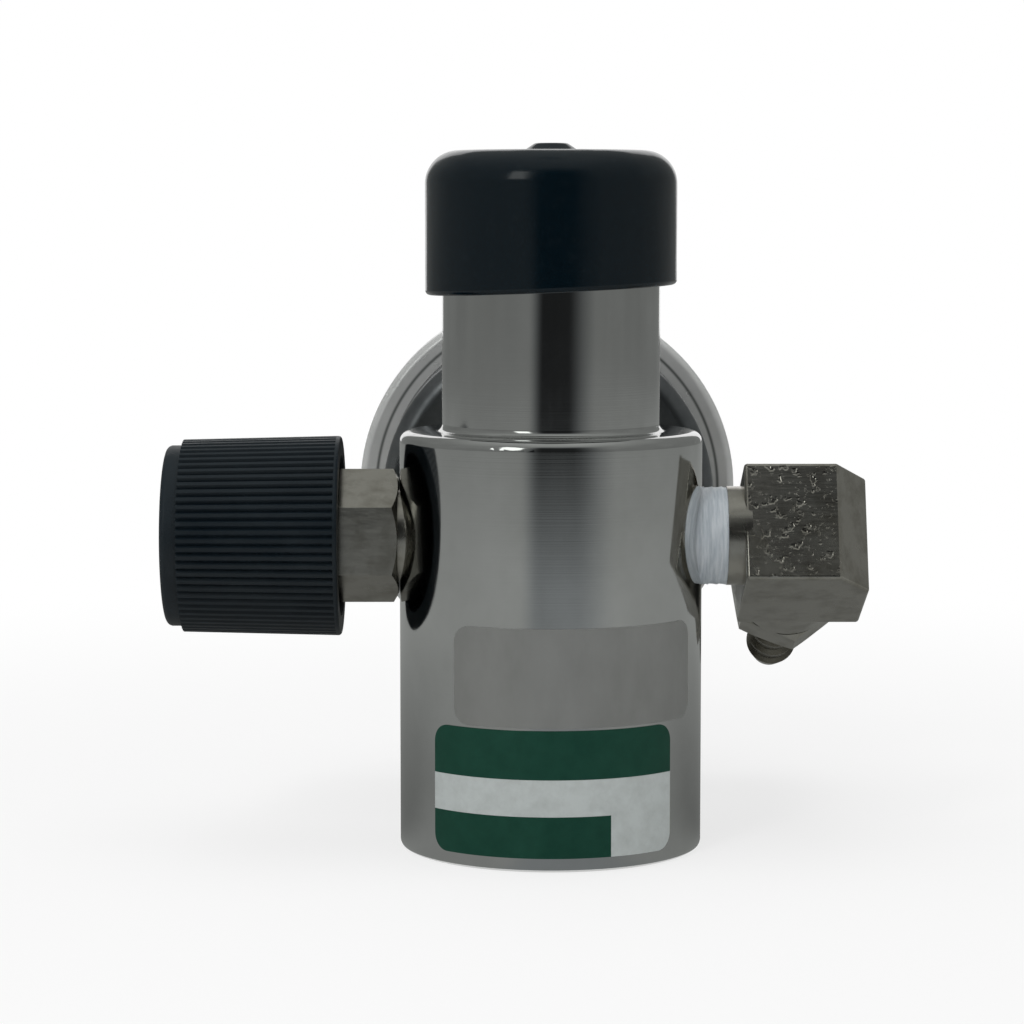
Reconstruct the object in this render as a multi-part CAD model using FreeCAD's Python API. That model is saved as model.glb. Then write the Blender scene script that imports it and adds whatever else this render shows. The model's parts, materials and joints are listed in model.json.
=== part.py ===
import FreeCAD, Part
import math
import os

# Oxygen regulator for a small threaded cylinder, in millimetres.
# Origin at the centre of the flat base, +Z up the turned body's axis.
# -X holds the flow knob, +X the outlet elbow, +Y the pressure gauge.

# Turned body
body_dia = 41.3
body_height = 57.15
foot_round = 1.0
rim_round = 1.5
neck_dia = 29.7
neck_height = 35.65
neck_fillet = 1.0
neck_top_round = 1.0

# Fits shared by all pieces: radial gaps, and gaps between moving ends
thread_fit = 0.05
running_fit = 0.08
end_gap = 0.05
port_end_gap = 0.3
pin_end_gap = 0.5

# Small rounds, and how far a cutter runs past the face that it opens
edge_round = 0.4
tip_round = 0.3
cut_spare = 1.0

# Inlet socket for a fine one-inch thread, its gasket and filter
inlet_dia = 24.3
inlet_chamfer = 0.8
gasket_seat_dia = 22.0
gasket_thick = 2.5
gasket_hole_dia = 13.0
filter_seat_dia = 16.0
filter_thick = 2.5
retainer_thick = 2.5
retainer_hole_dia = 8.0
retainer_slot_width = 1.6
retainer_slot_depth = 1.0
guide_thick = 2.5
guide_spigot_dia = 5.0
guide_spigot_length = 1.2
guide_hole_dia = 1.6
guide_hole_count = 6

# Heights of the ports above the base
port_height = 42.7
gauge_rise = 2.6

# Side ports, and the cross passage between them
valve_port_dia = 12.7
outlet_port_dia = 13.6
port_depth = 8.65
cross_hole_dia = 7.0
needle_seat_dia = 4.0
needle_seat_length = 4.0
feed_hole_dia = 2.5
feed_hole_setback = 1.7
sense_hole_dia = 2.5
sense_hole_top_rise = 10.4

# High pressure bore, seat nozzle and poppet
hp_dia = 14.0
nozzle_shoulder_rise = 5.3
nozzle_head_height = 5.0
nozzle_bore_dia = 3.0
nozzle_tube_dia = 5.0
nozzle_lip_height = 0.8
nozzle_lip_width = 0.5
nozzle_lip_base = 1.4
stroke = 1.0
poppet_dia = 13.6
poppet_height = 6.0
poppet_flat_depth = 1.4
poppet_spigot_dia = 5.0
poppet_spigot_height = 2.0
poppet_seat_dia = 7.0
poppet_seat_thick = 2.0
poppet_seat_proud = 0.3
poppet_spring_wire = 0.8
poppet_spring_dia = 7.6
poppet_spring_turns = 3.0
poppet_spring_length = 4.05

# Piston, its spring and the base plug
chamber_dia = 32.0
chamber_depth = 34.5
piston_thick = 7.0
piston_boss_height = 1.5
piston_boss_dia = 16.0
piston_boss_wall = 2.0
piston_slot_width = 3.0
piston_recess_depth = 2.0
piston_recess_dia = 26.0
ring_section = 2.4
push_pin_dia = 1.8
push_pin_seat = 4.0
main_spring_wire = 2.8
main_spring_dia = 24.0
main_spring_turns = 4.0
plug_thick = 8.0
plug_vent_dia = 2.0
plug_vent_offset = 5.5
plug_spanner_dia = 3.0
plug_spanner_spread = 20.0
plug_spanner_depth = 4.0

# Dip-moulded dust cap over the neck
cap_fit = 0.1
cap_wall = 2.15
cap_top_wall = 2.2
cap_length = 18.8
cap_round = 4.5
cap_lip_round = 0.7
cap_lip_tilt = 2.5
cap_nub_dia = 5.4
cap_nub_height = 1.0
cap_nub_flare = 1.5
cap_nub_round = 1.0
cap_trim_spare = 3.0

# Needle valve: distances run outwards, away from the body's axis
valve_hex = 15.875
valve_hex_length = 12.25
valve_hex_chamfer = 1.3
valve_hex_standoff = 0.1
valve_thread_length = 5.55
needle_tip_dia = 1.0
needle_shank_dia = 5.0
needle_cone_length = 4.7
needle_tip_reach = 3.4
needle_guide_length = 2.2
needle_shank_length = 4.7
needle_hole_spare = 1.6
carriage_width = 6.4
carriage_length = 7.0
carriage_room = 2.0
spindle_thread_dia = 3.0
spindle_tip_setback = 4.4
spindle_collar_dia = 9.8
spindle_collar_thick = 2.0
spindle_dia = 6.0
spindle_flat = 1.0
gland_bore_dia = 10.0
gland_hex = 12.7
gland_hex_thick = 3.5
gland_hex_chamfer = 0.6
spindle_ring_section = 0.8
spindle_ring_setback = 2.0

# Control knob and its end cap
knob_dia_inner = 27.3
knob_dia_outer = 26.3
knob_length = 21.5
knob_overlap = 4.4
knob_wall = 2.6
knob_web = 6.1
knob_hub_dia = 11.0
knob_hub_length = 7.0
knob_rib_count = 72
knob_rib_depth = 0.45
knob_rib_start = 0.6
knob_groove_share = 0.62
knob_groove_lift = 0.3
knob_inner_round = 1.0
knob_screw_dia = 3.0
knob_screw_length = 7.0
knob_screw_head_dia = 7.0
knob_screw_head_thick = 2.2
knob_screw_pocket = 2.9
knob_screw_pocket_dia = 8.0
knob_screw_slot = 1.0
knob_cap_dia = 24.7
knob_cap_thick = 2.3
knob_cap_round = 0.8
knob_cap_ring_dia = 21.0
knob_cap_ring_wall = 1.5
knob_cap_ring_depth = 1.5

# Outlet elbow and hose barb: the outlet runs back and down
elbow_tilt = 24.0
elbow_thread_dia = 12.9
tape_thick = 0.32
tape_start = 3.2
tape_show = 3.35
elbow_collar_length = 2.2
elbow_block_length = 17.1
elbow_block_height = 16.5
elbow_block_back = 6.6
elbow_block_front = 14.2
elbow_bevel_along = 4.4
elbow_bevel_deep = 6.3
elbow_edge_round = 0.5
elbow_outlet_offset = 7.8
elbow_boss_dia = 15.2
elbow_boss_length = 7.8
elbow_boss_root = 2.0
elbow_bore_dia = 7.0
outlet_port_thread_dia = 9.7
outlet_port_thread_depth = 9.0
barb_hex = 14.3
barb_hex_thick = 5.2
barb_hex_chamfer = 0.9
barb_hex_turn = 22.0
barb_face_dia = 12.4
barb_face_thick = 1.2
barb_thread_length = 8.5
barb_root_dia = 5.8
barb_ring_dia = 7.4
barb_ring_length = 4.6
barb_ring_count = 5
barb_neck_length = 4.4
barb_bore_dia = 4.0
barb_tip_taper = 0.3

# Pressure gauge on the +Y side: distances run outwards from the case's back
gauge_thread_dia = 13.5
gauge_stem_standoff = 9.05
gauge_stem_square = 14.3
gauge_stem_chamfer = 1.0
gauge_spigot_dia = 10.0
gauge_passage_dia = 3.0
gauge_passage_depth = 1.8
case_dia = 48.5
case_wall = 0.8
case_depth = 18.8
case_corner = 2.65
case_flange_width = 2.15
case_flange_thick = 1.0
case_screw_dia = 3.0
case_screw_spread = 9.0
case_screw_drop = 10.4
case_screw_head_dia = 5.0
case_screw_head_thick = 1.4
case_screw_head_round = 0.6
case_screw_slot = 0.7
case_screw_slot_depth = 0.6
bezel_wall = 1.75
bezel_length = 10.0
bezel_back_lip = 2.5
bezel_round = 1.2
bezel_lip_width = 2.6
bezel_face_slope = 2.6
window_thick = 2.0
window_seal_thick = 1.0
window_seal_width = 2.2
socket_block_width = 12.0
socket_block_top = 5.0
socket_block_thick = 3.4
socket_lug_sweep = 17.0
socket_lug_wall = 0.6
tube_back_gap = 0.4
bourdon_radius = 17.0
bourdon_width = 6.0
bourdon_thick = 2.2
bourdon_wall = 0.4
bourdon_sweep = 250.0
bourdon_start = -80.0
bourdon_tip_sweep = 9.0
tip_lug_reach = 6.4
tip_lug_thick = 0.8
plate_thick = 0.8
plate_gap = 5.7
plate_width = 14.0
plate_offset = 0.8
plate_margin = 2.2
plate_round = 1.5
pillar_dia = 2.4
pillar_spread = 8.8
pillar_rise = 3.2
dial_rim_gap = 0.45
dial_thick = 0.5
dial_standoff = 2.2
dial_hole_dia = 3.0
dial_screw_dia = 1.6
dial_screw_head_dia = 2.8
dial_screw_head_thick = 0.6
dial_screw_head_round = 0.2
dial_screw_slot = 0.4
dial_screw_slot_depth = 0.3
arbor_dia = 1.2
arbor_front_length = 5.3
pinion_teeth = 10
gear_module = 0.2
gear_ratio = 9
gear_thick = 1.6
gear_backlash = 0.06
gear_offset = 0.4
tooth_root_share = 1.25
tooth_tip_share = 0.9
tooth_root_width_share = 0.32
tooth_tip_width_share = 0.14
sector_span = 40.0
sector_lead = 5.0
sector_pivot_angle = -120.0
sector_tail_length = 5.5
sector_tail_angle = 190.0
sector_arm_width = 2.6
sector_rim_width = 1.6
sector_arm_sink = 0.2
link_width = 1.8
link_thick = 0.6
link_length = 10.9
link_angle = 90.0
pin_dia = 0.9
hairspring_gap = 0.4
hairspring_turns = 4
hairspring_pitch = 0.7
hairspring_thick = 0.15
hairspring_width = 0.6
pointer_length = 18.5
pointer_tail = 6.0
pointer_width = 1.6
pointer_thick = 0.4
pointer_lift = 1.2
pointer_tail_width_share = 1.6
pointer_hub_dia = 3.6
pointer_hub_thick = 1.4
pointer_rest_angle = -45.0

# Labels: thin curved film on the front of the barrel
label_thick = 0.12
silver_label_low = 19.3
silver_label_height = 13.2
silver_label_arc = 36.3
silver_label_centre = 11.6
serial_label_low = 2.0
serial_label_height = 17.0
serial_label_arc = 35.4
serial_label_centre = 0.5
label_corner = 2.3

# Worked out from the driving sizes
body_r = body_dia / 2.0
neck_top = body_height + neck_height
nozzle_shoulder = port_height + nozzle_shoulder_rise
nozzle_top = nozzle_shoulder + nozzle_head_height + nozzle_lip_height
seat_face = nozzle_top + stroke + end_gap
poppet_base = seat_face + poppet_seat_proud
poppet_top = poppet_base + poppet_height
guide_base = poppet_top + poppet_spring_length + 2.0 * end_gap
filter_base = guide_base + guide_thick
retainer_base = filter_base + filter_thick
gasket_base = retainer_base + retainer_thick
inlet_floor = gasket_base + gasket_thick
piston_top = chamber_depth - 2.0 * end_gap - piston_boss_height
piston_base = piston_top - piston_thick
spring_ceiling = piston_base + piston_recess_depth
port_floor = body_r - port_depth
gauge_height = port_height + gauge_rise
case_back = body_r + gauge_stem_standoff
socket_front = case_back + case_wall + socket_block_thick
back_plate_front = socket_front + plate_thick
front_plate_back = back_plate_front + plate_gap
front_plate_front = front_plate_back + plate_thick
dial_back = front_plate_front + dial_standoff
dial_front = dial_back + dial_thick
case_flange_dia = case_dia + 2.0 * case_flange_width
bezel_dia = case_flange_dia + 2.0 * (thread_fit + bezel_wall)
bezel_sight_dia = case_flange_dia - 2.0 * bezel_lip_width
dial_dia = case_dia - 2.0 * (case_wall + dial_rim_gap)
flange_front = case_back + case_depth + case_flange_thick
window_back = flange_front + window_seal_thick
window_front = window_back + window_thick
bezel_back = case_back + case_depth - bezel_back_lip
pinion_r = gear_module * pinion_teeth / 2.0
sector_r = pinion_r * gear_ratio
gear_centres = pinion_r + sector_r
gear_back = back_plate_front + (plate_gap - gear_thick) / 2.0 - gear_offset
gear_front = gear_back + gear_thick
UP = FreeCAD.Vector(0, 0, 1)
OUT = FreeCAD.Vector(-1, 0, 0)
RIGHT = FreeCAD.Vector(1, 0, 0)
BACK = FreeCAD.Vector(0, 1, 0)
GAUGE_TURN = FreeCAD.Vector(0, -1, 0)
VALVE_AXIS = FreeCAD.Vector(0, 0, port_height)
GAUGE_AXIS = FreeCAD.Vector(0, 0, gauge_height)


def rounded_wire(points):
    """Closed wire in the XZ plane; a point is (x, z) or (x, z, corner radius)."""
    count = len(points)
    corners = []
    for index, point in enumerate(points):
        here = FreeCAD.Vector(point[0], 0, point[1])
        radius = point[2] if len(point) > 2 else 0.0
        if radius == 0.0:
            corners.append((here, here, here))
            continue
        before = points[index - 1]
        after = points[(index + 1) % count]
        to_before = (FreeCAD.Vector(before[0], 0, before[1]) - here).normalize()
        to_after = (FreeCAD.Vector(after[0], 0, after[1]) - here).normalize()
        half_angle = to_before.getAngle(to_after) / 2.0
        setback = radius / math.tan(half_angle)
        to_centre = (to_before + to_after).normalize()
        middle = here + to_centre * (radius / math.sin(half_angle) - radius)
        corners.append((here + to_before * setback, middle, here + to_after * setback))
    edges = []
    for index, (start, middle, end) in enumerate(corners):
        if start.distanceToPoint(end) > 1e-6:
            edges.append(Part.Arc(start, middle, end).toShape())
        next_start = corners[(index + 1) % count][0]
        if end.distanceToPoint(next_start) > 1e-6:
            edges.append(Part.makeLine(end, next_start))
    return Part.Wire(edges)


def place(shape, origin, axis):
    """Turn a shape built up the Z axis so that it runs along an axis from an origin."""
    turn = FreeCAD.Rotation(UP, axis)
    moved = shape.copy()
    moved.Placement = FreeCAD.Placement(origin, turn).multiply(moved.Placement)
    return moved


def turned(points, origin=FreeCAD.Vector(0, 0, 0), axis=UP, start=0.0, sweep=360.0):
    """Solid of revolution from a (radius, distance along the axis) profile."""
    face = Part.Face(rounded_wire(points))
    solid = face.revolve(FreeCAD.Vector(0, 0, 0), UP, sweep)
    solid.rotate(FreeCAD.Vector(0, 0, 0), UP, start)
    return place(solid, origin, axis)


def rod(dia, low, high, origin=FreeCAD.Vector(0, 0, 0), axis=UP):
    """Round bar or drill between two distances along an axis."""
    return Part.makeCylinder(dia / 2.0, high - low, origin + axis * low, axis)


def tube(outer_dia, inner_dia, low, high, origin=FreeCAD.Vector(0, 0, 0), axis=UP):
    """Ring or sleeve between two distances along an axis."""
    return rod(outer_dia, low, high, origin, axis).cut(rod(inner_dia, low, high, origin, axis))


def prism(sides, across_flats, low, high, origin, axis, turn):
    """Bar with a regular section, turned about its own axis by an angle."""
    corner_r = across_flats / 2.0 / math.cos(math.pi / sides)
    corners = []
    for index in range(sides + 1):
        angle = math.radians(turn) + 2.0 * math.pi * index / sides
        corners.append(FreeCAD.Vector(corner_r * math.cos(angle), corner_r * math.sin(angle), low))
    bar = Part.Face(Part.makePolygon(corners)).extrude(FreeCAD.Vector(0, 0, high - low))
    return place(bar, origin, axis)


def chamfered_hex(across_flats, low, high, chamfer_low, chamfer_high, origin, axis, turn):
    """Hexagon bar whose corners are turned off at thirty degrees at its ends."""
    corner_r = across_flats / math.sqrt(3.0)
    drop_low = chamfer_low * math.tan(math.radians(30.0))
    drop_high = chamfer_high * math.tan(math.radians(30.0))
    cone = turned([
        (0, low), (corner_r - chamfer_low, low), (corner_r, low + drop_low),
        (corner_r, high - drop_high), (corner_r - chamfer_high, high), (0, high)], origin, axis)
    return prism(6, across_flats, low, high, origin, axis, turn).common(cone)


def torus_ring(centre_dia, section_dia, height, origin=FreeCAD.Vector(0, 0, 0), axis=UP):
    """Round sealing ring."""
    centre = origin + axis * height
    return Part.makeTorus(centre_dia / 2.0, section_dia / 2.0, centre, axis)


def coil_spring(outer_dia, wire, turns, low, high):
    """Compression spring up the Z axis between two flats."""
    mean_r = (outer_dia - wire) / 2.0
    rise = high - low - wire
    slope = math.atan2(rise / turns, 2.0 * math.pi * mean_r)
    path = Part.makeLongHelix(rise / turns, rise, mean_r)
    along = FreeCAD.Vector(0, math.cos(slope), math.sin(slope))
    section = Part.Wire(Part.makeCircle(wire / 2.0, FreeCAD.Vector(mean_r, 0, 0), along))
    spring = Part.Wire(path.Edges).makePipeShell([section], True, True)
    spring.translate(FreeCAD.Vector(0, 0, low + wire / 2.0))
    return spring


def ring_of(shape, count, origin, axis):
    """Copies of a shape spread evenly round an axis."""
    copies = []
    for index in range(count):
        copy = shape.copy()
        copy.rotate(origin, axis, 360.0 * index / count)
        copies.append(copy)
    return copies


def body_ports():
    """Threaded ports in the sides, and the drillings that link them to the bores."""
    sense_start = FreeCAD.Vector(0, port_floor + cut_spare, gauge_height)
    sense_end = FreeCAD.Vector(0, hp_dia / 4.0, port_height + nozzle_shoulder_rise + sense_hole_top_rise)
    sense_run = sense_end - sense_start
    feed_at = FreeCAD.Vector(-port_floor - feed_hole_setback, 0, 0)
    return [
        rod(valve_port_dia, port_floor, body_r + cut_spare, VALVE_AXIS, OUT),
        rod(outlet_port_dia, port_floor, body_r + cut_spare, VALVE_AXIS, RIGHT),
        rod(gauge_thread_dia + 2.0 * thread_fit, port_floor, body_r + cut_spare, GAUGE_AXIS, BACK),
        rod(needle_seat_dia, port_floor - needle_seat_length, port_floor, VALVE_AXIS, OUT),
        rod(cross_hole_dia, needle_seat_length - port_floor, port_floor, VALVE_AXIS, RIGHT),
        rod(feed_hole_dia, chamber_depth - cut_spare, port_height, feed_at),
        Part.makeCylinder(sense_hole_dia / 2.0, sense_run.Length, sense_start, sense_run)]


def regulator_body():
    """One turned and bored piece: barrel, neck, inlet socket, seat bore and piston chamber."""
    neck_r = neck_dia / 2.0
    chamber_r = chamber_dia / 2.0
    inlet_r = inlet_dia / 2.0
    body = turned([
        (chamber_r, 0), (body_r, 0, foot_round), (body_r, body_height, rim_round),
        (neck_r, body_height, neck_fillet), (neck_r, neck_top, neck_top_round),
        (inlet_r + inlet_chamfer, neck_top), (inlet_r, neck_top - inlet_chamfer),
        (inlet_r, inlet_floor), (gasket_seat_dia / 2.0, inlet_floor),
        (gasket_seat_dia / 2.0, gasket_base), (filter_seat_dia / 2.0, gasket_base),
        (filter_seat_dia / 2.0, guide_base), (hp_dia / 2.0, guide_base),
        (hp_dia / 2.0, nozzle_shoulder), (nozzle_tube_dia / 2.0, nozzle_shoulder),
        (nozzle_tube_dia / 2.0, chamber_depth), (chamber_r, chamber_depth)])
    return body.cut(body_ports())


def dust_cap():
    """Soft dipped cap with a drip nub on top and a lip cut slightly askew."""
    bore_r = neck_dia / 2.0 + cap_fit
    outer_r = bore_r + cap_wall
    ceiling = neck_top + cap_fit
    top = ceiling + cap_top_wall
    low = top - cap_length
    nub_r = cap_nub_dia / 2.0
    trim = low - cap_trim_spare
    cap = turned([
        (0, ceiling), (bore_r, ceiling, neck_top_round), (bore_r, trim), (outer_r, trim),
        (outer_r, top, cap_round), (nub_r + cap_nub_round, top, cap_nub_flare),
        (nub_r - cap_nub_round / 2.0, top + cap_nub_height, cap_nub_round), (0, top + cap_nub_height)])
    size = 2.0 * outer_r
    cutter = Part.makeBox(2.0 * size, 2.0 * size, size, FreeCAD.Vector(-size, -size, low - size))
    cutter.rotate(FreeCAD.Vector(0, 0, low), FreeCAD.Vector(0, 1, 0), -cap_lip_tilt)
    cap = cap.cut(cutter)
    lip_edges = [edge for edge in cap.Edges if edge.BoundBox.ZMax < low + cap_trim_spare
                 and edge.BoundBox.XLength > neck_dia]
    return cap.makeFillet(cap_lip_round, lip_edges)


def inlet_gasket():
    """Flat washer that the cylinder's post seals on."""
    return tube(gasket_seat_dia - 2.0 * thread_fit, gasket_hole_dia, gasket_base, inlet_floor)


def filter_retainer():
    """Threaded ring with a screwdriver slot that holds the filter down."""
    ring = tube(filter_seat_dia - 2.0 * thread_fit, retainer_hole_dia, retainer_base, gasket_base)
    slot_low = gasket_base - retainer_slot_depth
    slot = Part.makeBox(filter_seat_dia, retainer_slot_width, retainer_slot_depth,
                        FreeCAD.Vector(-filter_seat_dia / 2.0, -retainer_slot_width / 2.0, slot_low))
    return ring.cut(slot)


def inlet_filter():
    """Sintered disc."""
    return rod(filter_seat_dia - 2.0 * thread_fit, filter_base, retainer_base)


def spring_guide():
    """Perforated disc that carries the poppet spring's upper end."""
    disc = rod(filter_seat_dia - 2.0 * thread_fit, guide_base, filter_base)
    spigot = rod(guide_spigot_dia, guide_base - guide_spigot_length, guide_base)
    hole_circle = (guide_spigot_dia + hp_dia) / 4.0
    hole = rod(guide_hole_dia, guide_base, filter_base, FreeCAD.Vector(hole_circle, 0, 0))
    holes = ring_of(hole, guide_hole_count, FreeCAD.Vector(0, 0, 0), UP)
    return disc.fuse(spigot).cut(holes)


def poppet_spring():
    """Light closing spring between the guide and the poppet."""
    return coil_spring(poppet_spring_dia, poppet_spring_wire, poppet_spring_turns,
                       poppet_top + end_gap, guide_base - end_gap)


def poppet():
    """Three-sided slider that carries the soft seat disc."""
    outer_r = poppet_dia / 2.0
    slider = turned([
        (0, poppet_base + poppet_seat_thick - poppet_seat_proud),
        (poppet_seat_dia / 2.0, poppet_base + poppet_seat_thick - poppet_seat_proud),
        (poppet_seat_dia / 2.0, poppet_base), (outer_r, poppet_base, edge_round),
        (outer_r, poppet_top, edge_round), (poppet_spigot_dia / 2.0, poppet_top),
        (poppet_spigot_dia / 2.0, poppet_top + poppet_spigot_height, edge_round),
        (0, poppet_top + poppet_spigot_height)])
    flat = Part.makeBox(poppet_dia, poppet_dia, poppet_height + 2.0 * cut_spare,
                        FreeCAD.Vector(outer_r - poppet_flat_depth, -outer_r, poppet_base - cut_spare))
    return slider.cut(ring_of(flat, 3, FreeCAD.Vector(0, 0, 0), UP))


def poppet_seat():
    """Soft disc pressed into the poppet."""
    return rod(poppet_seat_dia - 2.0 * thread_fit, seat_face, seat_face + poppet_seat_thick)


def seat_nozzle():
    """Orifice with a sharp lip, and a tube that carries the gas past the cross passage."""
    bore_r = nozzle_bore_dia / 2.0
    head_r = hp_dia / 2.0 - thread_fit
    head_top = nozzle_shoulder + nozzle_head_height
    tube_r = nozzle_tube_dia / 2.0 - thread_fit
    return turned([
        (bore_r, chamber_depth), (tube_r, chamber_depth), (tube_r, nozzle_shoulder),
        (head_r, nozzle_shoulder), (head_r, head_top, tip_round),
        (bore_r + nozzle_lip_base, head_top), (bore_r + nozzle_lip_width, nozzle_top),
        (bore_r, nozzle_top)])


def push_pin():
    """Pin pressed into the piston; it lifts the poppet off the nozzle."""
    return rod(push_pin_dia, piston_top - push_pin_seat, seat_face - end_gap)


def piston():
    """Piston with a ring groove, a slotted stop boss and a pocket for its spring."""
    outer_r = chamber_dia / 2.0 - running_fit
    groove_r = (chamber_dia - running_fit) / 2.0 - ring_section - thread_fit
    groove_mid = (piston_base + piston_top) / 2.0
    groove_half = ring_section / 2.0 + end_gap
    boss_r = piston_boss_dia / 2.0
    pocket_r = piston_recess_dia / 2.0
    boss_top = piston_top + piston_boss_height
    body = turned([
        (push_pin_dia / 2.0 + thread_fit, piston_top - push_pin_seat - pin_end_gap),
        (push_pin_dia / 2.0 + thread_fit, piston_top),
        (boss_r - piston_boss_wall, piston_top), (boss_r - piston_boss_wall, boss_top),
        (boss_r, boss_top), (boss_r, piston_top), (outer_r, piston_top, edge_round),
        (outer_r, groove_mid + groove_half), (groove_r, groove_mid + groove_half),
        (groove_r, groove_mid - groove_half), (outer_r, groove_mid - groove_half),
        (outer_r, piston_base, edge_round), (pocket_r, piston_base), (pocket_r, spring_ceiling),
        (0, spring_ceiling), (0, piston_top - push_pin_seat - pin_end_gap)])
    slot = Part.makeBox(piston_boss_dia, piston_slot_width, piston_boss_height,
                        FreeCAD.Vector(-boss_r, -piston_slot_width / 2.0, piston_top))
    return body.cut(slot)


def piston_ring():
    """Sealing ring in the piston's groove."""
    outer_r = chamber_dia / 2.0 - running_fit / 2.0
    return torus_ring(2.0 * outer_r - ring_section, ring_section, (piston_base + piston_top) / 2.0)


def main_spring():
    """Loading spring between the base plug and the piston."""
    return coil_spring(main_spring_dia, main_spring_wire, main_spring_turns,
                       plug_thick + end_gap, spring_ceiling - end_gap)


def base_plug():
    """Screwed plug with a vent and two spanner holes."""
    outer_r = chamber_dia / 2.0 - thread_fit
    plug = turned([(0, 0), (outer_r, 0, edge_round), (outer_r, plug_thick, edge_round), (0, plug_thick)])
    spanner = rod(plug_spanner_dia, 0, plug_spanner_depth, RIGHT * (plug_spanner_spread / 2.0))
    holes = ring_of(spanner, 2, FreeCAD.Vector(0, 0, 0), UP)
    holes.append(rod(plug_vent_dia, 0, plug_thick, BACK * plug_vent_offset))
    return plug.cut(holes)


# Stations of the needle valve, measured outwards from the body's axis
hex_low = body_r + valve_hex_standoff
hex_high = hex_low + valve_hex_length
thread_low = hex_low - valve_thread_length
needle_tip = port_floor - needle_tip_reach
cone_end = needle_tip + needle_cone_length
carriage_low = cone_end + needle_shank_length
carriage_high = carriage_low + carriage_length
guide_high = thread_low + needle_guide_length
square_high = carriage_high + carriage_room
collar_high = square_high + spindle_collar_thick + end_gap
gland_low = collar_high + 2.0 * end_gap
gland_high = hex_high + gland_hex_thick
knob_low = hex_high - knob_overlap
knob_high = knob_low + knob_length
hub_low = knob_high - knob_web - knob_hub_length
pocket_low = knob_high - knob_screw_pocket


def valve_body():
    """Hexagon body screwed into the port, broached square inside to guide the needle."""
    shell = chamfered_hex(valve_hex, hex_low, hex_high, valve_hex_chamfer, valve_hex_chamfer / 2.0,
                          VALVE_AXIS, OUT, 0.0)
    shell = shell.fuse(rod(valve_port_dia - 2.0 * thread_fit, thread_low, hex_low, VALVE_AXIS, OUT))
    bores = [
        rod(needle_shank_dia + 2.0 * running_fit, thread_low, guide_high, VALVE_AXIS, OUT),
        prism(4, carriage_width + 2.0 * running_fit, guide_high, square_high, VALVE_AXIS, OUT, 45.0),
        rod(gland_bore_dia, square_high, hex_high, VALVE_AXIS, OUT)]
    return shell.cut(bores)


def valve_needle():
    """Tapered needle on a square nut that slides as the spindle turns."""
    needle = turned([
        (0, needle_tip), (needle_tip_dia / 2.0, needle_tip), (needle_shank_dia / 2.0, cone_end),
        (needle_shank_dia / 2.0, carriage_low), (0, carriage_low)], VALVE_AXIS, OUT)
    nut = prism(4, carriage_width, carriage_low, carriage_high, VALVE_AXIS, OUT, 45.0)
    hole_low = carriage_high - spindle_tip_setback - needle_hole_spare
    hole = rod(spindle_thread_dia + 2.0 * running_fit, hole_low, carriage_high, VALVE_AXIS, OUT)
    return needle.fuse(nut).cut(hole)


def d_bar(dia, flat, low, high):
    """Round bar on the valve's axis with one flat along it."""
    bar = rod(dia, low, high, VALVE_AXIS, OUT)
    cutter = Part.makeBox(high - low, dia, flat,
                          FreeCAD.Vector(-high, -dia / 2.0, port_height + dia / 2.0 - flat))
    return bar.cut(cutter)


def valve_spindle():
    """Spindle held by its collar; its inner thread drives the needle, its flat end the knob."""
    tip = carriage_high - spindle_tip_setback
    ring_at = gland_low + spindle_ring_setback
    groove_half = spindle_ring_section / 2.0 + end_gap
    groove_r = spindle_dia / 2.0 - spindle_ring_section
    spindle_r = spindle_dia / 2.0
    collar_r = spindle_collar_dia / 2.0
    shaft = turned([
        (0, tip), (spindle_thread_dia / 2.0, tip, tip_round),
        (spindle_thread_dia / 2.0, square_high + end_gap),
        (collar_r, square_high + end_gap), (collar_r, collar_high), (spindle_r, collar_high),
        (spindle_r, ring_at - groove_half), (groove_r, ring_at - groove_half),
        (groove_r, ring_at + groove_half), (spindle_r, ring_at + groove_half),
        (spindle_r, hub_low - end_gap), (0, hub_low - end_gap)], VALVE_AXIS, OUT)
    end = d_bar(spindle_dia, spindle_flat, hub_low - end_gap, pocket_low - end_gap)
    hole_low = pocket_low - knob_screw_length - pin_end_gap
    screw_hole = rod(knob_screw_dia + 2.0 * thread_fit, hole_low, pocket_low, VALVE_AXIS, OUT)
    return shaft.fuse(end).cut(screw_hole)


def spindle_ring():
    """Small sealing ring on the spindle."""
    centre_dia = spindle_dia - spindle_ring_section + running_fit
    return torus_ring(centre_dia, spindle_ring_section, gland_low + spindle_ring_setback, VALVE_AXIS, OUT)


def gland_nut():
    """Nut that keeps the spindle's collar in the valve body."""
    head = chamfered_hex(gland_hex, hex_high, gland_high, gland_hex_chamfer, gland_hex_chamfer,
                         VALVE_AXIS, OUT, 0.0)
    shank = rod(gland_bore_dia - 2.0 * thread_fit, gland_low, hex_high, VALVE_AXIS, OUT)
    hole = rod(spindle_dia + 4.0 * running_fit, gland_low, gland_high, VALVE_AXIS, OUT)
    return head.fuse(shank).cut(hole)


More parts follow.
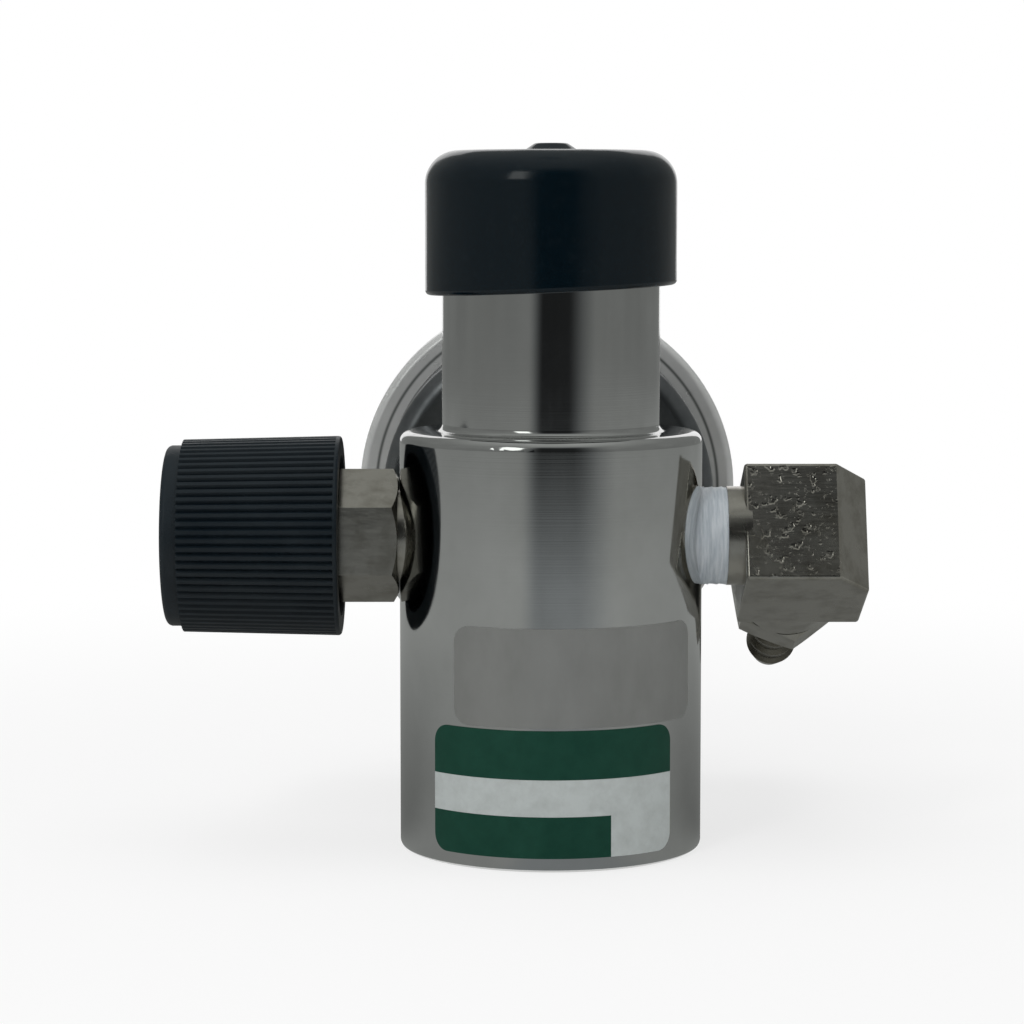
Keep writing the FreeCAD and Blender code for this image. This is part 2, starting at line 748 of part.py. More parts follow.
def knob_grooves():
    """Tapered V grooves between the knob's grip ribs."""
    start = knob_low + knob_rib_start
    draft = (knob_dia_inner - knob_dia_outer) / 2.0 / knob_length
    r_start = knob_dia_inner / 2.0 - draft * knob_rib_start
    r_end = knob_dia_outer / 2.0
    half_width = math.pi * r_end / knob_rib_count * knob_groove_share
    ridge = half_width * (1.0 + knob_groove_lift / knob_rib_depth)
    corners = [
        FreeCAD.Vector(-start, 0, port_height + r_start - knob_rib_depth),
        FreeCAD.Vector(-start, ridge, port_height + r_start + knob_groove_lift),
        FreeCAD.Vector(-start, -ridge, port_height + r_start + knob_groove_lift)]
    corners.append(corners[0])
    run = FreeCAD.Vector(start - knob_high - cut_spare, 0, r_end - r_start)
    groove = Part.Face(Part.makePolygon(corners)).extrude(run)
    return ring_of(groove, knob_rib_count, VALVE_AXIS, OUT)


def knob():
    """Ribbed moulded knob, hollow towards the body, with a hub that fits the spindle."""
    r_in = knob_dia_inner / 2.0
    r_out = knob_dia_outer / 2.0
    hollow_r = r_in - knob_wall
    hub_r = knob_hub_dia / 2.0
    web_low = knob_high - knob_web
    ring_r = knob_cap_ring_dia / 2.0
    ring_low = knob_high - knob_cap_ring_depth - 2.0 * end_gap
    shell = turned([
        (hollow_r, knob_low), (r_in, knob_low, edge_round), (r_out, knob_high),
        (ring_r + thread_fit, knob_high), (ring_r + thread_fit, ring_low),
        (ring_r - knob_cap_ring_wall - thread_fit, ring_low),
        (ring_r - knob_cap_ring_wall - thread_fit, knob_high), (0, knob_high), (0, hub_low),
        (hub_r, hub_low, edge_round), (hub_r, web_low, knob_inner_round),
        (hollow_r, web_low, knob_inner_round)], VALVE_AXIS, OUT)
    shell = shell.cut(knob_grooves())
    socket = d_bar(spindle_dia + 2.0 * thread_fit, spindle_flat, hub_low, pocket_low)
    pocket = rod(knob_screw_pocket_dia, pocket_low, knob_high, VALVE_AXIS, OUT)
    return shell.cut([socket, pocket])


def knob_screw():
    """Slotted screw that holds the knob on the spindle."""
    head_r = knob_screw_head_dia / 2.0
    shank_r = knob_screw_dia / 2.0
    head_high = pocket_low + knob_screw_head_thick
    screw = turned([
        (0, pocket_low - knob_screw_length), (shank_r, pocket_low - knob_screw_length, tip_round),
        (shank_r, pocket_low), (head_r, pocket_low), (head_r, head_high, edge_round), (0, head_high)],
        VALVE_AXIS, OUT)
    slot = Part.makeBox(knob_screw_slot, knob_screw_slot, knob_screw_head_dia,
                        FreeCAD.Vector(-head_high, -knob_screw_slot / 2.0, port_height - head_r))
    return screw.cut(slot)


def knob_cap():
    """Disc with a snap ring that closes the knob's outer end."""
    ring_r = knob_cap_ring_dia / 2.0
    inner_r = ring_r - knob_cap_ring_wall
    ring_low = knob_high - knob_cap_ring_depth
    return turned([
        (0, knob_high), (inner_r, knob_high), (inner_r, ring_low), (ring_r, ring_low),
        (ring_r, knob_high), (knob_cap_dia / 2.0, knob_high),
        (knob_cap_dia / 2.0, knob_high + knob_cap_thick, knob_cap_round),
        (0, knob_high + knob_cap_thick)], VALVE_AXIS, OUT)


# Stations of the outlet side, measured outwards from the body's axis
tape_low = body_r - tape_start
tape_high = body_r + tape_show
block_low = tape_high + elbow_collar_length
block_high = block_low + elbow_block_length
outlet_x = block_low + elbow_outlet_offset
outlet_face = elbow_block_front + elbow_boss_length
tape_dia = elbow_thread_dia + 2.0 * tape_thick
OUTLET_AXIS = FreeCAD.Vector(outlet_x, 0, port_height)


def tip_down(shape):
    """Turn a piece of the outlet about the port's axis, so that it points back and down."""
    shape.rotate(VALVE_AXIS, RIGHT, -elbow_tilt)
    return shape


def thread_tape():
    """Sealing tape wound on the elbow's thread, as one sleeve."""
    return tube(tape_dia, elbow_thread_dia, tape_low, tape_high, VALVE_AXIS, RIGHT)


def elbow_block():
    """Square bar end with its outer rear corner bevelled."""
    half = elbow_block_height / 2.0
    outline = [
        FreeCAD.Vector(block_low, -elbow_block_back, port_height - half),
        FreeCAD.Vector(block_high - elbow_bevel_along, -elbow_block_back, port_height - half),
        FreeCAD.Vector(block_high, elbow_bevel_deep - elbow_block_back, port_height - half),
        FreeCAD.Vector(block_high, elbow_block_front, port_height - half),
        FreeCAD.Vector(block_low, elbow_block_front, port_height - half)]
    outline.append(outline[0])
    block = Part.Face(Part.makePolygon(outline)).extrude(FreeCAD.Vector(0, 0, elbow_block_height))
    return block.makeFillet(elbow_edge_round, block.Edges)


def outlet_elbow():
    """Forged elbow: pipe thread into the body, block, and a round boss for the barb."""
    solid = elbow_block()
    solid = solid.fuse([
        rod(elbow_boss_dia, elbow_block_front - elbow_boss_root, outlet_face, OUTLET_AXIS, BACK),
        rod(tape_dia, tape_high, block_low + 2.0 * elbow_edge_round, VALVE_AXIS, RIGHT),
        rod(elbow_thread_dia, port_floor + port_end_gap, tape_high, VALVE_AXIS, RIGHT)])
    thread_low = outlet_face - outlet_port_thread_depth
    solid = solid.cut([
        rod(elbow_bore_dia, port_floor, outlet_x, VALVE_AXIS, RIGHT),
        rod(elbow_bore_dia, 0, thread_low, OUTLET_AXIS, BACK),
        rod(outlet_port_thread_dia, thread_low, outlet_face, OUTLET_AXIS, BACK)])
    return tip_down(solid)


def hose_barb():
    """Barbed tail for push-on tubing, screwed into the elbow."""
    face_high = outlet_face + barb_face_thick
    hex_top = face_high + barb_hex_thick
    root_r = barb_root_dia / 2.0
    ring_r = barb_ring_dia / 2.0
    bore_r = barb_bore_dia / 2.0
    thread_r = outlet_port_thread_dia / 2.0 - thread_fit
    profile = [
        (bore_r, outlet_face - barb_thread_length), (thread_r, outlet_face - barb_thread_length),
        (thread_r, outlet_face), (barb_face_dia / 2.0, outlet_face),
        (barb_face_dia / 2.0, face_high), (root_r, face_high), (root_r, hex_top + barb_neck_length)]
    station = hex_top + barb_neck_length
    for index in range(barb_ring_count):
        profile.append((ring_r, station))
        station = station + barb_ring_length
        last = index == barb_ring_count - 1
        profile.append((root_r - barb_tip_taper if last else root_r, station))
    profile.append((bore_r, station))
    tail = turned(profile, OUTLET_AXIS, BACK)
    nut = chamfered_hex(barb_hex, face_high, hex_top, barb_hex_chamfer, barb_hex_chamfer,
                        OUTLET_AXIS, BACK, barb_hex_turn)
    nut = nut.cut(rod(barb_bore_dia, face_high, hex_top, OUTLET_AXIS, BACK))
    return tip_down(tail.fuse(nut))


def gauge_point(angle, radius):
    """Point on the gauge's face plane: angle from +X towards +Z, about the gauge axis."""
    turn = math.radians(angle)
    return FreeCAD.Vector(radius * math.cos(turn), 0, gauge_height + radius * math.sin(turn))


def gauge_socket():
    """Threaded stem with a wrench square, and the block that carries the tube and movement."""
    stem = rod(gauge_thread_dia, port_floor + port_end_gap, body_r + cut_spare, GAUGE_AXIS, BACK)
    square = prism(4, gauge_stem_square, body_r + cut_spare, case_back, GAUGE_AXIS, BACK, 45.0)
    corner_r = gauge_stem_square / math.sqrt(2.0)
    square = square.common(rod(2.0 * (corner_r - gauge_stem_chamfer), body_r, case_back, GAUGE_AXIS, BACK))
    spigot = rod(gauge_spigot_dia, case_back, case_back + case_wall, GAUGE_AXIS, BACK)
    lug_outer = bourdon_radius + bourdon_thick + socket_lug_wall
    lug_inner = bourdon_radius - bourdon_thick
    block_low = case_back + case_wall
    block = Part.makeBox(socket_block_width, socket_block_thick, socket_block_top + lug_outer,
                         FreeCAD.Vector(-socket_block_width / 2.0, block_low, gauge_height - lug_outer))
    lug_front = tube_middle() + bourdon_width / 2.0 + socket_lug_wall
    lug = ring_segment(lug_inner, lug_outer, socket_front, lug_front,
                       bourdon_start - socket_lug_sweep, socket_lug_sweep)
    solid = stem.fuse([square, spigot, block, lug])
    passage = rod(gauge_passage_dia, port_floor, case_back + case_wall + gauge_passage_depth,
                  GAUGE_AXIS, BACK)
    screw_holes = [case_screw_hole(side) for side in (-1.0, 1.0)]
    return solid.cut([passage] + screw_holes)


def tube_middle():
    """Distance of the pressure tube's middle plane along Y."""
    return back_plate_front + tube_back_gap + bourdon_width / 2.0


def ring_segment(inner_r, outer_r, low, high, start, sweep):
    """Flat ring segment about the gauge axis; angles from +X towards +Z."""
    corners = [
        FreeCAD.Vector(inner_r, low, gauge_height), FreeCAD.Vector(outer_r, low, gauge_height),
        FreeCAD.Vector(outer_r, high, gauge_height), FreeCAD.Vector(inner_r, high, gauge_height)]
    corners.append(corners[0])
    segment = Part.Face(Part.makePolygon(corners)).revolve(GAUGE_AXIS, GAUGE_TURN, sweep)
    segment.rotate(GAUGE_AXIS, GAUGE_TURN, start)
    return segment


def case_screw_hole(side):
    """Hole in the socket block for one of the case's screws."""
    at = FreeCAD.Vector(side * case_screw_spread / 2.0, 0, gauge_height - case_screw_drop)
    return rod(case_screw_dia + 2.0 * thread_fit, case_back + case_wall, socket_front, at, BACK)


def case_screws():
    """Two screws through the case's back into the socket block."""
    screws = []
    for side in (-1.0, 1.0):
        at = FreeCAD.Vector(side * case_screw_spread / 2.0, 0, gauge_height - case_screw_drop)
        head_r = case_screw_head_dia / 2.0
        shank_r = case_screw_dia / 2.0
        head_back = case_back - case_screw_head_thick
        screw = turned([
            (0, head_back), (head_r, head_back, case_screw_head_round), (head_r, case_back),
            (shank_r, case_back), (shank_r, socket_front - tip_round), (0, socket_front - tip_round)],
            at, BACK)
        slot = Part.makeBox(case_screw_slot, case_screw_slot_depth, case_screw_head_dia,
                            FreeCAD.Vector(at.x - case_screw_slot / 2.0, head_back, at.z - head_r))
        screws.append(screw.cut(slot))
    return Part.makeCompound(screws)


def gauge_case():
    """Drawn cup with a rounded back corner and a flange for the bezel."""
    outer_r = case_dia / 2.0
    inner_r = outer_r - case_wall
    mouth = case_back + case_depth
    flange_r = case_flange_dia / 2.0
    hole_r = gauge_spigot_dia / 2.0 + thread_fit
    cup = turned([
        (hole_r, case_back), (outer_r, case_back, case_corner), (outer_r, mouth), (flange_r, mouth),
        (flange_r, mouth + case_flange_thick), (inner_r, mouth + case_flange_thick),
        (inner_r, case_back + case_wall, case_corner - case_wall), (hole_r, case_back + case_wall)],
        GAUGE_AXIS, BACK)
    holes = []
    for side in (-1.0, 1.0):
        at = FreeCAD.Vector(side * case_screw_spread / 2.0, 0, gauge_height - case_screw_drop)
        hole = rod(case_screw_dia + 4.0 * thread_fit, case_back, case_back + case_wall, at, BACK)
        holes.append(hole)
    return cup.cut(holes)


def gauge_bezel():
    """Rolled ring that clamps the window on the case's flange, with a sloped face."""
    outer_r = bezel_dia / 2.0
    sight_r = bezel_sight_dia / 2.0
    front = bezel_back + bezel_length
    lip_r = case_dia / 2.0 + thread_fit
    groove_r = case_flange_dia / 2.0 + thread_fit
    return turned([
        (lip_r, bezel_back), (outer_r, bezel_back, bezel_round), (outer_r, front, bezel_round),
        (sight_r + bezel_face_slope, front, edge_round), (sight_r, window_front),
        (groove_r, window_front), (groove_r, case_back + case_depth), (lip_r, case_back + case_depth)],
        GAUGE_AXIS, BACK)


def gauge_window():
    """Flat clear disc."""
    return rod(case_flange_dia, window_back, window_front, GAUGE_AXIS, BACK)


def window_seal():
    """Ring under the window."""
    inner_dia = case_flange_dia - 2.0 * window_seal_width
    return tube(case_flange_dia, inner_dia, flange_front, window_back, GAUGE_AXIS, BACK)


def bourdon_tube():
    """Flattened C tube that straightens with pressure."""
    middle = tube_middle()
    length_r = bourdon_width / 2.0
    thick_r = bourdon_thick / 2.0
    solids = []
    for shrink in (0.0, bourdon_wall):
        centre = FreeCAD.Vector(bourdon_radius, middle, 0)
        ellipse = Part.Ellipse(centre + FreeCAD.Vector(0, length_r - shrink, 0),
                               centre + FreeCAD.Vector(thick_r - shrink, 0, 0), centre)
        face = Part.Face(Part.Wire(ellipse.toShape()))
        solid = face.revolve(FreeCAD.Vector(0, 0, 0), GAUGE_TURN, bourdon_sweep)
        solid.translate(GAUGE_AXIS)
        solid.rotate(GAUGE_AXIS, GAUGE_TURN, bourdon_start)
        solids.append(solid)
    return solids[0].cut(solids[1])


def bourdon_tip():
    """Cap on the tube's free end, with a lug for the link."""
    end = bourdon_start + bourdon_sweep
    middle = tube_middle()
    half = bourdon_width / 2.0
    outer_r = bourdon_radius + bourdon_thick / 2.0
    inner_r = bourdon_radius - bourdon_thick / 2.0
    cap = ring_segment(inner_r, outer_r, middle - half, middle + half, end, bourdon_tip_sweep)
    lug_low = gear_front + 2.0 * link_thick
    lug = ring_segment(inner_r - tip_lug_reach, inner_r + bourdon_wall, lug_low, lug_low + tip_lug_thick,
                       end, bourdon_tip_sweep)
    return cap.fuse(lug)


def sector_pivot():
    """Pivot of the sector gear on the gauge's face plane."""
    return gauge_point(sector_pivot_angle, gear_centres)


def pillar_places():
    """The two pillars stand left and right of the gauge centre."""
    return [FreeCAD.Vector(side * pillar_spread, 0, gauge_height + pillar_rise) for side in (-0.5, 0.5)]


def movement_plate(low, high):
    """Slotted brass plate of the movement with its pivot and pillar holes."""
    pivot = sector_pivot()
    top = gauge_height + pillar_rise + plate_margin
    bottom = pivot.z - plate_margin
    plate = Part.makeBox(plate_width, high - low, top - bottom,
                         FreeCAD.Vector(-plate_width / 2.0 - plate_offset, low, bottom))
    upright = [edge for edge in plate.Edges if edge.BoundBox.YLength > plate_thick / 2.0]
    plate = plate.makeFillet(plate_round, upright)
    holes = [rod(arbor_dia + 2.0 * running_fit, low, high, at, BACK) for at in (GAUGE_AXIS, pivot)]
    for at in pillar_places():
        holes.append(rod(dial_screw_dia + 2.0 * thread_fit, low, high, at, BACK))
    return plate.cut(holes)


def back_plate():
    """Rear plate, which lies on the socket block."""
    return movement_plate(socket_front, back_plate_front)


def front_plate():
    """Front plate, which carries the dial's posts."""
    return movement_plate(front_plate_back, front_plate_front)


def movement_pillars():
    """Two pillars between the plates and on up to the dial, each with a screw hole."""
    bore_dia = dial_screw_dia + 2.0 * thread_fit
    pillars = []
    for at in pillar_places():
        pillars.append(tube(pillar_dia, bore_dia, back_plate_front, front_plate_back, at, BACK))
        pillars.append(tube(pillar_dia, bore_dia, front_plate_front, dial_back, at, BACK))
    return Part.makeCompound(pillars)


def dial_screws():
    """Two long screws that hold dial, pillars and plates together."""
    screws = []
    for at in pillar_places():
        head_r = dial_screw_head_dia / 2.0
        shank_r = dial_screw_dia / 2.0
        head_front = dial_front + dial_screw_head_thick
        screw = turned([
            (0, socket_front), (shank_r, socket_front), (shank_r, dial_front), (head_r, dial_front),
            (head_r, head_front, dial_screw_head_round), (0, head_front)], at, BACK)
        slot_at = FreeCAD.Vector(at.x - head_r, head_front - dial_screw_slot_depth,
                                 at.z - dial_screw_slot / 2.0)
        slot = Part.makeBox(dial_screw_head_dia, dial_screw_slot_depth, dial_screw_slot, slot_at)
        screws.append(screw.cut(slot))
    return Part.makeCompound(screws)


def gauge_dial():
    """Thin printed disc."""
    disc = rod(dial_dia, dial_back, dial_front, GAUGE_AXIS, BACK)
    holes = [rod(dial_hole_dia, dial_back, dial_front, GAUGE_AXIS, BACK)]
    for at in pillar_places():
        holes.append(rod(dial_screw_dia + 2.0 * thread_fit, dial_back, dial_front, at, BACK))
    return disc.cut(holes)


def toothed_blank(teeth, centre, first_angle, count, radius):
    """Fan of straight-sided teeth on a pitch radius about a centre in the gauge's plane."""
    pitch_angle = 360.0 / teeth
    root_r = radius - tooth_root_share * gear_module
    tip_r = radius + tooth_tip_share * gear_module
    half_root = math.pi * gear_module * tooth_root_width_share - gear_backlash / 2.0
    half_tip = math.pi * gear_module * tooth_tip_width_share - gear_backlash / 4.0
    wedges = []
    for index in range(count):
        angle = first_angle + pitch_angle * index
        along = FreeCAD.Vector(math.cos(math.radians(angle)), 0, math.sin(math.radians(angle)))
        across = FreeCAD.Vector(-along.z, 0, along.x)
        base = FreeCAD.Vector(centre.x, gear_back, centre.z)
        inner = root_r - gear_module
        corners = [
            base + along * inner - across * half_root, base + along * root_r - across * half_root,
            base + along * tip_r - across * half_tip, base + along * tip_r + across * half_tip,
            base + along * root_r + across * half_root, base + along * inner + across * half_root]
        corners.append(corners[0])
        wedge = Part.Face(Part.makePolygon(corners)).extrude(FreeCAD.Vector(0, gear_thick, 0))
        wedges.append(wedge)
    return wedges


def pinion_arbor():
    """Arbor with its pinion; the pointer is pressed on its front end."""
    root_dia = 2.0 * (pinion_r - tooth_root_share * gear_module)
    core = rod(root_dia, gear_back, gear_front, GAUGE_AXIS, BACK)
    shaft = rod(arbor_dia, socket_front + end_gap, front_plate_front + arbor_front_length, GAUGE_AXIS, BACK)
    first = sector_pivot_angle + 180.0 / pinion_teeth
    teeth = toothed_blank(pinion_teeth, GAUGE_AXIS, first, pinion_teeth, pinion_r)
    return core.fuse([shaft] + teeth)


def sector_gear():
    """Toothed sector with a tail for the link, turning on its own arbor."""
    pivot = sector_pivot()
    mesh_angle = sector_pivot_angle + 180.0
    teeth_all = pinion_teeth * gear_ratio
    pitch_angle = 360.0 / teeth_all
    lead_teeth = round(sector_lead / pitch_angle)
    count = round(sector_span / pitch_angle) + 1
    first = mesh_angle - lead_teeth * pitch_angle
    teeth = toothed_blank(teeth_all, pivot, first, count, sector_r)
    root_r = sector_r - tooth_root_share * gear_module
    low = FreeCAD.Vector(pivot.x, gear_back, pivot.z)
    rim_low = math.radians(first - pitch_angle)
    rim_high = math.radians(first + count * pitch_angle)
    rim = Part.makeCylinder(root_r, gear_thick, low, BACK)
    rim = rim.cut(Part.makeCylinder(root_r - sector_rim_width, gear_thick, low, BACK))
    wedge_corners = [low]
    for angle in (rim_low, rim_high):
        reach = FreeCAD.Vector(math.cos(angle), 0, math.sin(angle)) * (2.0 * sector_r)
        wedge_corners.append(low + reach)
    wedge_corners.append(low)
    wedge = Part.Face(Part.makePolygon(wedge_corners)).extrude(FreeCAD.Vector(0, gear_thick, 0))
    rim = rim.common(wedge)
    arm_length = root_r - sector_arm_width / 2.0 - sector_arm_sink
    arms = [
        flat_bar(pivot, math.degrees((rim_low + rim_high) / 2.0), arm_length, sector_arm_width,
                 gear_back, gear_front),
        flat_bar(pivot, sector_tail_angle, sector_tail_length, link_width, gear_back, gear_front)]
    boss = rod(2.0 * arbor_dia, gear_back, gear_front, pivot, BACK)
    shaft = rod(arbor_dia, socket_front + end_gap, front_plate_front + end_gap, pivot, BACK)
    tail_pin = rod(pin_dia, gear_front, gear_front + link_thick + end_gap, tail_point(), BACK)
    return rim.fuse(teeth + arms + [boss, shaft, tail_pin])


def flat_bar(start, angle, length, width, low, high):
    """Bar with a round far end, from a point along an angle in the gauge's plane."""
    turn = math.radians(angle)
    along = FreeCAD.Vector(math.cos(turn), 0, math.sin(turn))
    across = FreeCAD.Vector(-along.z, 0, along.x) * (width / 2.0)
    base = FreeCAD.Vector(start.x, low, start.z)
    corners = [base - across, base + along * length - across, base + along * length + across, base + across]
    corners.append(corners[0])
    bar = Part.Face(Part.makePolygon(corners)).extrude(FreeCAD.Vector(0, high - low, 0))
    return bar.fuse([rod(width, low, high, start, BACK),
                     rod(width, low, high, start + along * length, BACK)])


def tail_point():
    """Pin of the link on the sector's tail."""
    turn = math.radians(sector_tail_angle)
    return sector_pivot() + FreeCAD.Vector(math.cos(turn), 0, math.sin(turn)) * sector_tail_length


def tip_link():
    """Flat link from the sector's tail up to the tube's tip."""
    bar = flat_bar(tail_point(), link_angle, link_length, link_width,
                   gear_front + end_gap, gear_front + link_thick)
    hole = rod(pin_dia + 2.0 * running_fit, gear_front, gear_front + link_thick, tail_point(), BACK)
    return bar.cut(hole)


def hairspring():
    """Flat spiral spring round the pinion arbor, as half rings about two centres."""
    low = gear_front + link_thick + hairspring_gap
    high = low + hairspring_width
    halves = []
    radius = arbor_dia / 2.0 + running_fit + hairspring_thick / 2.0
    for index in range(2 * hairspring_turns):
        right = index % 2 == 0
        centre = FreeCAD.Vector(0 if right else -hairspring_pitch / 4.0, 0, gauge_height)
        ring = tube(2.0 * radius + hairspring_thick, 2.0 * radius - hairspring_thick, low, high,
                    centre, BACK)
        size = 4.0 * radius
        box_z = gauge_height if right else gauge_height - size
        half = Part.makeBox(2.0 * size, high - low, size, FreeCAD.Vector(-size, low, box_z))
        halves.append(ring.common(half))
        radius = radius + hairspring_pitch / 4.0
    return halves[0].fuse(halves[1:])


def gauge_pointer():
    """Tapered pointer with a counterweight tail and a hub."""
    low = dial_front + pointer_lift
    high = low + pointer_thick
    turn = math.radians(pointer_rest_angle)
    along = FreeCAD.Vector(math.cos(turn), 0, math.sin(turn))
    across = FreeCAD.Vector(-along.z, 0, along.x)
    base = FreeCAD.Vector(0, low, gauge_height)
    half = pointer_width / 2.0
    corners = [
        base - along * pointer_tail - across * half * pointer_tail_width_share, base - across * half,
        base + along * pointer_length, base + across * half,
        base - along * pointer_tail + across * half * pointer_tail_width_share]
    corners.append(corners[0])
    hand = Part.Face(Part.makePolygon(corners)).extrude(FreeCAD.Vector(0, pointer_thick, 0))
    hub = rod(pointer_hub_dia, low, low + pointer_hub_thick, GAUGE_AXIS, BACK)
    hole = rod(arbor_dia + 2.0 * thread_fit, low, high + pointer_hub_thick, GAUGE_AXIS, BACK)
    return hand.fuse(hub).cut(hole)


def corner_cutter(angle, height, side, rise):
    """What a round corner takes off a film: side is -1 or 1 along it, rise -1 or 1 up it."""
    turn = math.radians(angle)
    outward = FreeCAD.Vector(math.sin(turn), -math.cos(turn), 0)
    reach = 1.5 * label_corner
    along = FreeCAD.Vector(math.cos(turn), math.sin(turn), 0) * (side * reach)
    up = UP * (rise * reach)
    base = FreeCAD.Vector(0, 0, height) + outward * (body_r - label_corner / 2.0)
    outline = Part.makePolygon([base, base + along, base + along + up, base + up, base])
    block = Part.Face(outline).extrude(outward * label_corner)
    return block.cut(Part.makeCylinder(label_corner, label_corner, base, outward))


def film_label(low, height, arc, centre):
    """Curved film on the barrel; angles from straight ahead (-Y), positive towards +X."""
    sweep = math.degrees(arc / body_r)
    inset = math.degrees(label_corner / body_r)
    film = turned([
        (body_r, low), (body_r + label_thick, low), (body_r + label_thick, low + height),
        (body_r, low + height)], sweep=sweep, start=centre - 90.0 - sweep / 2.0)
    cutters = []
    for side in (-1, 1):
        angle = centre + side * (sweep / 2.0 - inset)
        cutters.append(corner_cutter(angle, low + label_corner, side, -1))
        cutters.append(corner_cutter(angle, low + height - label_corner, side, 1))
    return film.cut(cutters)


def silver_label():
    """Plain grey film, upper."""
    return film_label(silver_label_low, silver_label_height, silver_label_arc, silver_label_centre)


def serial_label():
    """Green and white film, lower."""
    return film_label(serial_label_low, serial_label_height, serial_label_arc, serial_label_centre)


PIECES = [
    regulator_body, dust_cap, inlet_gasket, inlet_filter, filter_retainer, spring_guide, poppet_spring,
    poppet, poppet_seat, seat_nozzle, push_pin, piston, piston_ring, main_spring, base_plug,
    valve_body, valve_needle, valve_spindle, spindle_ring, gland_nut, knob, knob_screw, knob_cap,
    thread_tape, outlet_elbow, hose_barb, gauge_socket, case_screws, gauge_case, gauge_bezel,
    gauge_window, window_seal, bourdon_tube, bourdon_tip, back_plate, front_plate, movement_pillars,
    dial_screws, gauge_dial, pinion_arbor, sector_gear, tip_link, hairspring, gauge_pointer,
    silver_label, serial_label]

os.makedirs("parts", exist_ok=True)
for piece in PIECES:
    shape = piece()
    shape.exportStep("parts/" + piece.__name__ + ".step")
    print(piece.__name__, len(shape.Solids), shape.isValid(), round(shape.Volume, 3))
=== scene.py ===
import bpy
import bmesh
import json
import math
from mathutils import Matrix, Vector

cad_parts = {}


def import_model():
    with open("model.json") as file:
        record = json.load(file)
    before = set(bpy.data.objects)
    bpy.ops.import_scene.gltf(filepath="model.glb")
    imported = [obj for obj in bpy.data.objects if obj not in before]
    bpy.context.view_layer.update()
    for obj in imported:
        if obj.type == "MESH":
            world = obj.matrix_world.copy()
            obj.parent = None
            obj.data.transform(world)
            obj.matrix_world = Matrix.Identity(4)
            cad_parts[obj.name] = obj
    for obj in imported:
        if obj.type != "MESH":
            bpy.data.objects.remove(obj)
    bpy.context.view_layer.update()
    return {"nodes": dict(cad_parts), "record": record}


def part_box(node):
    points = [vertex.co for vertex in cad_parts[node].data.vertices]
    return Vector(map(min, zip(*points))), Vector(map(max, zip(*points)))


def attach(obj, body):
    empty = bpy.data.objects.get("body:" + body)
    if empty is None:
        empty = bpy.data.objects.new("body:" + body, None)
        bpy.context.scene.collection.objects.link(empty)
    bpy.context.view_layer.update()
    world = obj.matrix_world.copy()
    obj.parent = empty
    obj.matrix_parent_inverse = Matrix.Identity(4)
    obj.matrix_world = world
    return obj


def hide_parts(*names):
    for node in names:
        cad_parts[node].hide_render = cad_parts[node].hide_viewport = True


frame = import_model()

# Looks of the oxygen regulator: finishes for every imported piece, the printed dial, the wound
# tape, the inlet thread, a pale floor, soft studio light and the photograph's camera.
# Metres; +Z up the body, -X the knob, +X the outlet, +Y the gauge.

MM = 0.001

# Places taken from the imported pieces
dial_low, dial_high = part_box("gauge_dial")
tape_low, tape_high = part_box("thread_tape")
NECK_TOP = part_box("regulator_body")[1].z
GASKET_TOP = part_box("inlet_gasket")[1].z
BEZEL_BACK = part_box("gauge_bezel")[0].y
DIAL_CENTRE = (dial_low + dial_high) / 2.0
DIAL_FACE = dial_high.y
TAPE_CENTRE = (tape_low + tape_high) / 2.0

# The photograph's camera
CAMERA_DISTANCE = 440 * MM
CAMERA_SIDE = -5.3 * MM
CAMERA_HEIGHT = 88.3 * MM
CAMERA_PITCH = 5.5
CAMERA_LENS = 113.6
SENSOR = 36.0

# Front face of the turned elbow: its direction, and its distance along that direction
PORT_HEIGHT = 42.7 * MM
ELBOW_FRONT_REACH = 6.6 * MM
ELBOW_FRONT = (0.0, -0.9135, 0.4067)
ELBOW_FACE = PORT_HEIGHT * ELBOW_FRONT[2] + ELBOW_FRONT_REACH
ELBOW_BLOCK_FROM = 26.3 * MM

# Crease between the two rings of the bezel's rolled back edge, where shade is painted dark
CREASE_RADIUS = 25.7 * MM
CREASE_HALF = 0.4 * MM
ROLLED_EDGE = 1.0 * MM


# Node helpers

def new_material(name):
    """Material with its node tree and main shader."""
    material = bpy.data.materials.new(name)
    material.use_nodes = True
    tree = material.node_tree
    shader = tree.nodes["Principled BSDF"]
    return material, tree, shader


def add_node(tree, kind, inputs=None, **settings):
    """Node with its settings, and its inputs either set or linked."""
    node = tree.nodes.new(kind)
    for key, value in settings.items():
        setattr(node, key, value)
    for key, value in (inputs or {}).items():
        socket = node.inputs[key]
        if isinstance(value, bpy.types.NodeSocket):
            tree.links.new(value, socket)
        else:
            socket.default_value = value
    return node


def place(tree, scale=(1, 1, 1), turn=(0, 0, 0), move=(0, 0, 0)):
    """Object coordinates, stretched, turned and moved."""
    coords = add_node(tree, "ShaderNodeTexCoord")
    mapping = add_node(tree, "ShaderNodeMapping", {
        "Vector": coords.outputs["Object"], "Scale": scale, "Rotation": turn, "Location": move})
    return mapping.outputs["Vector"]


def noise(tree, vector, scale, detail, rough):
    """Noise value, 0 to 1."""
    node = add_node(tree, "ShaderNodeTexNoise", {
        "Vector": vector, "Scale": scale, "Detail": detail, "Roughness": rough})
    return node.outputs["Fac"]


def spread(tree, value, low, high, to_low=0.0, to_high=1.0):
    """Value stretched from one range to another, held at its ends."""
    node = add_node(tree, "ShaderNodeMapRange", {
        "Value": value, "From Min": low, "From Max": high, "To Min": to_low, "To Max": to_high})
    return node.outputs["Result"]


def smooth(tree, value, low, high):
    """Soft step from 0 to 1 between two values."""
    node = add_node(tree, "ShaderNodeMapRange", {
        "Value": value, "From Min": low, "From Max": high}, interpolation_type="SMOOTHSTEP")
    return node.outputs["Result"]


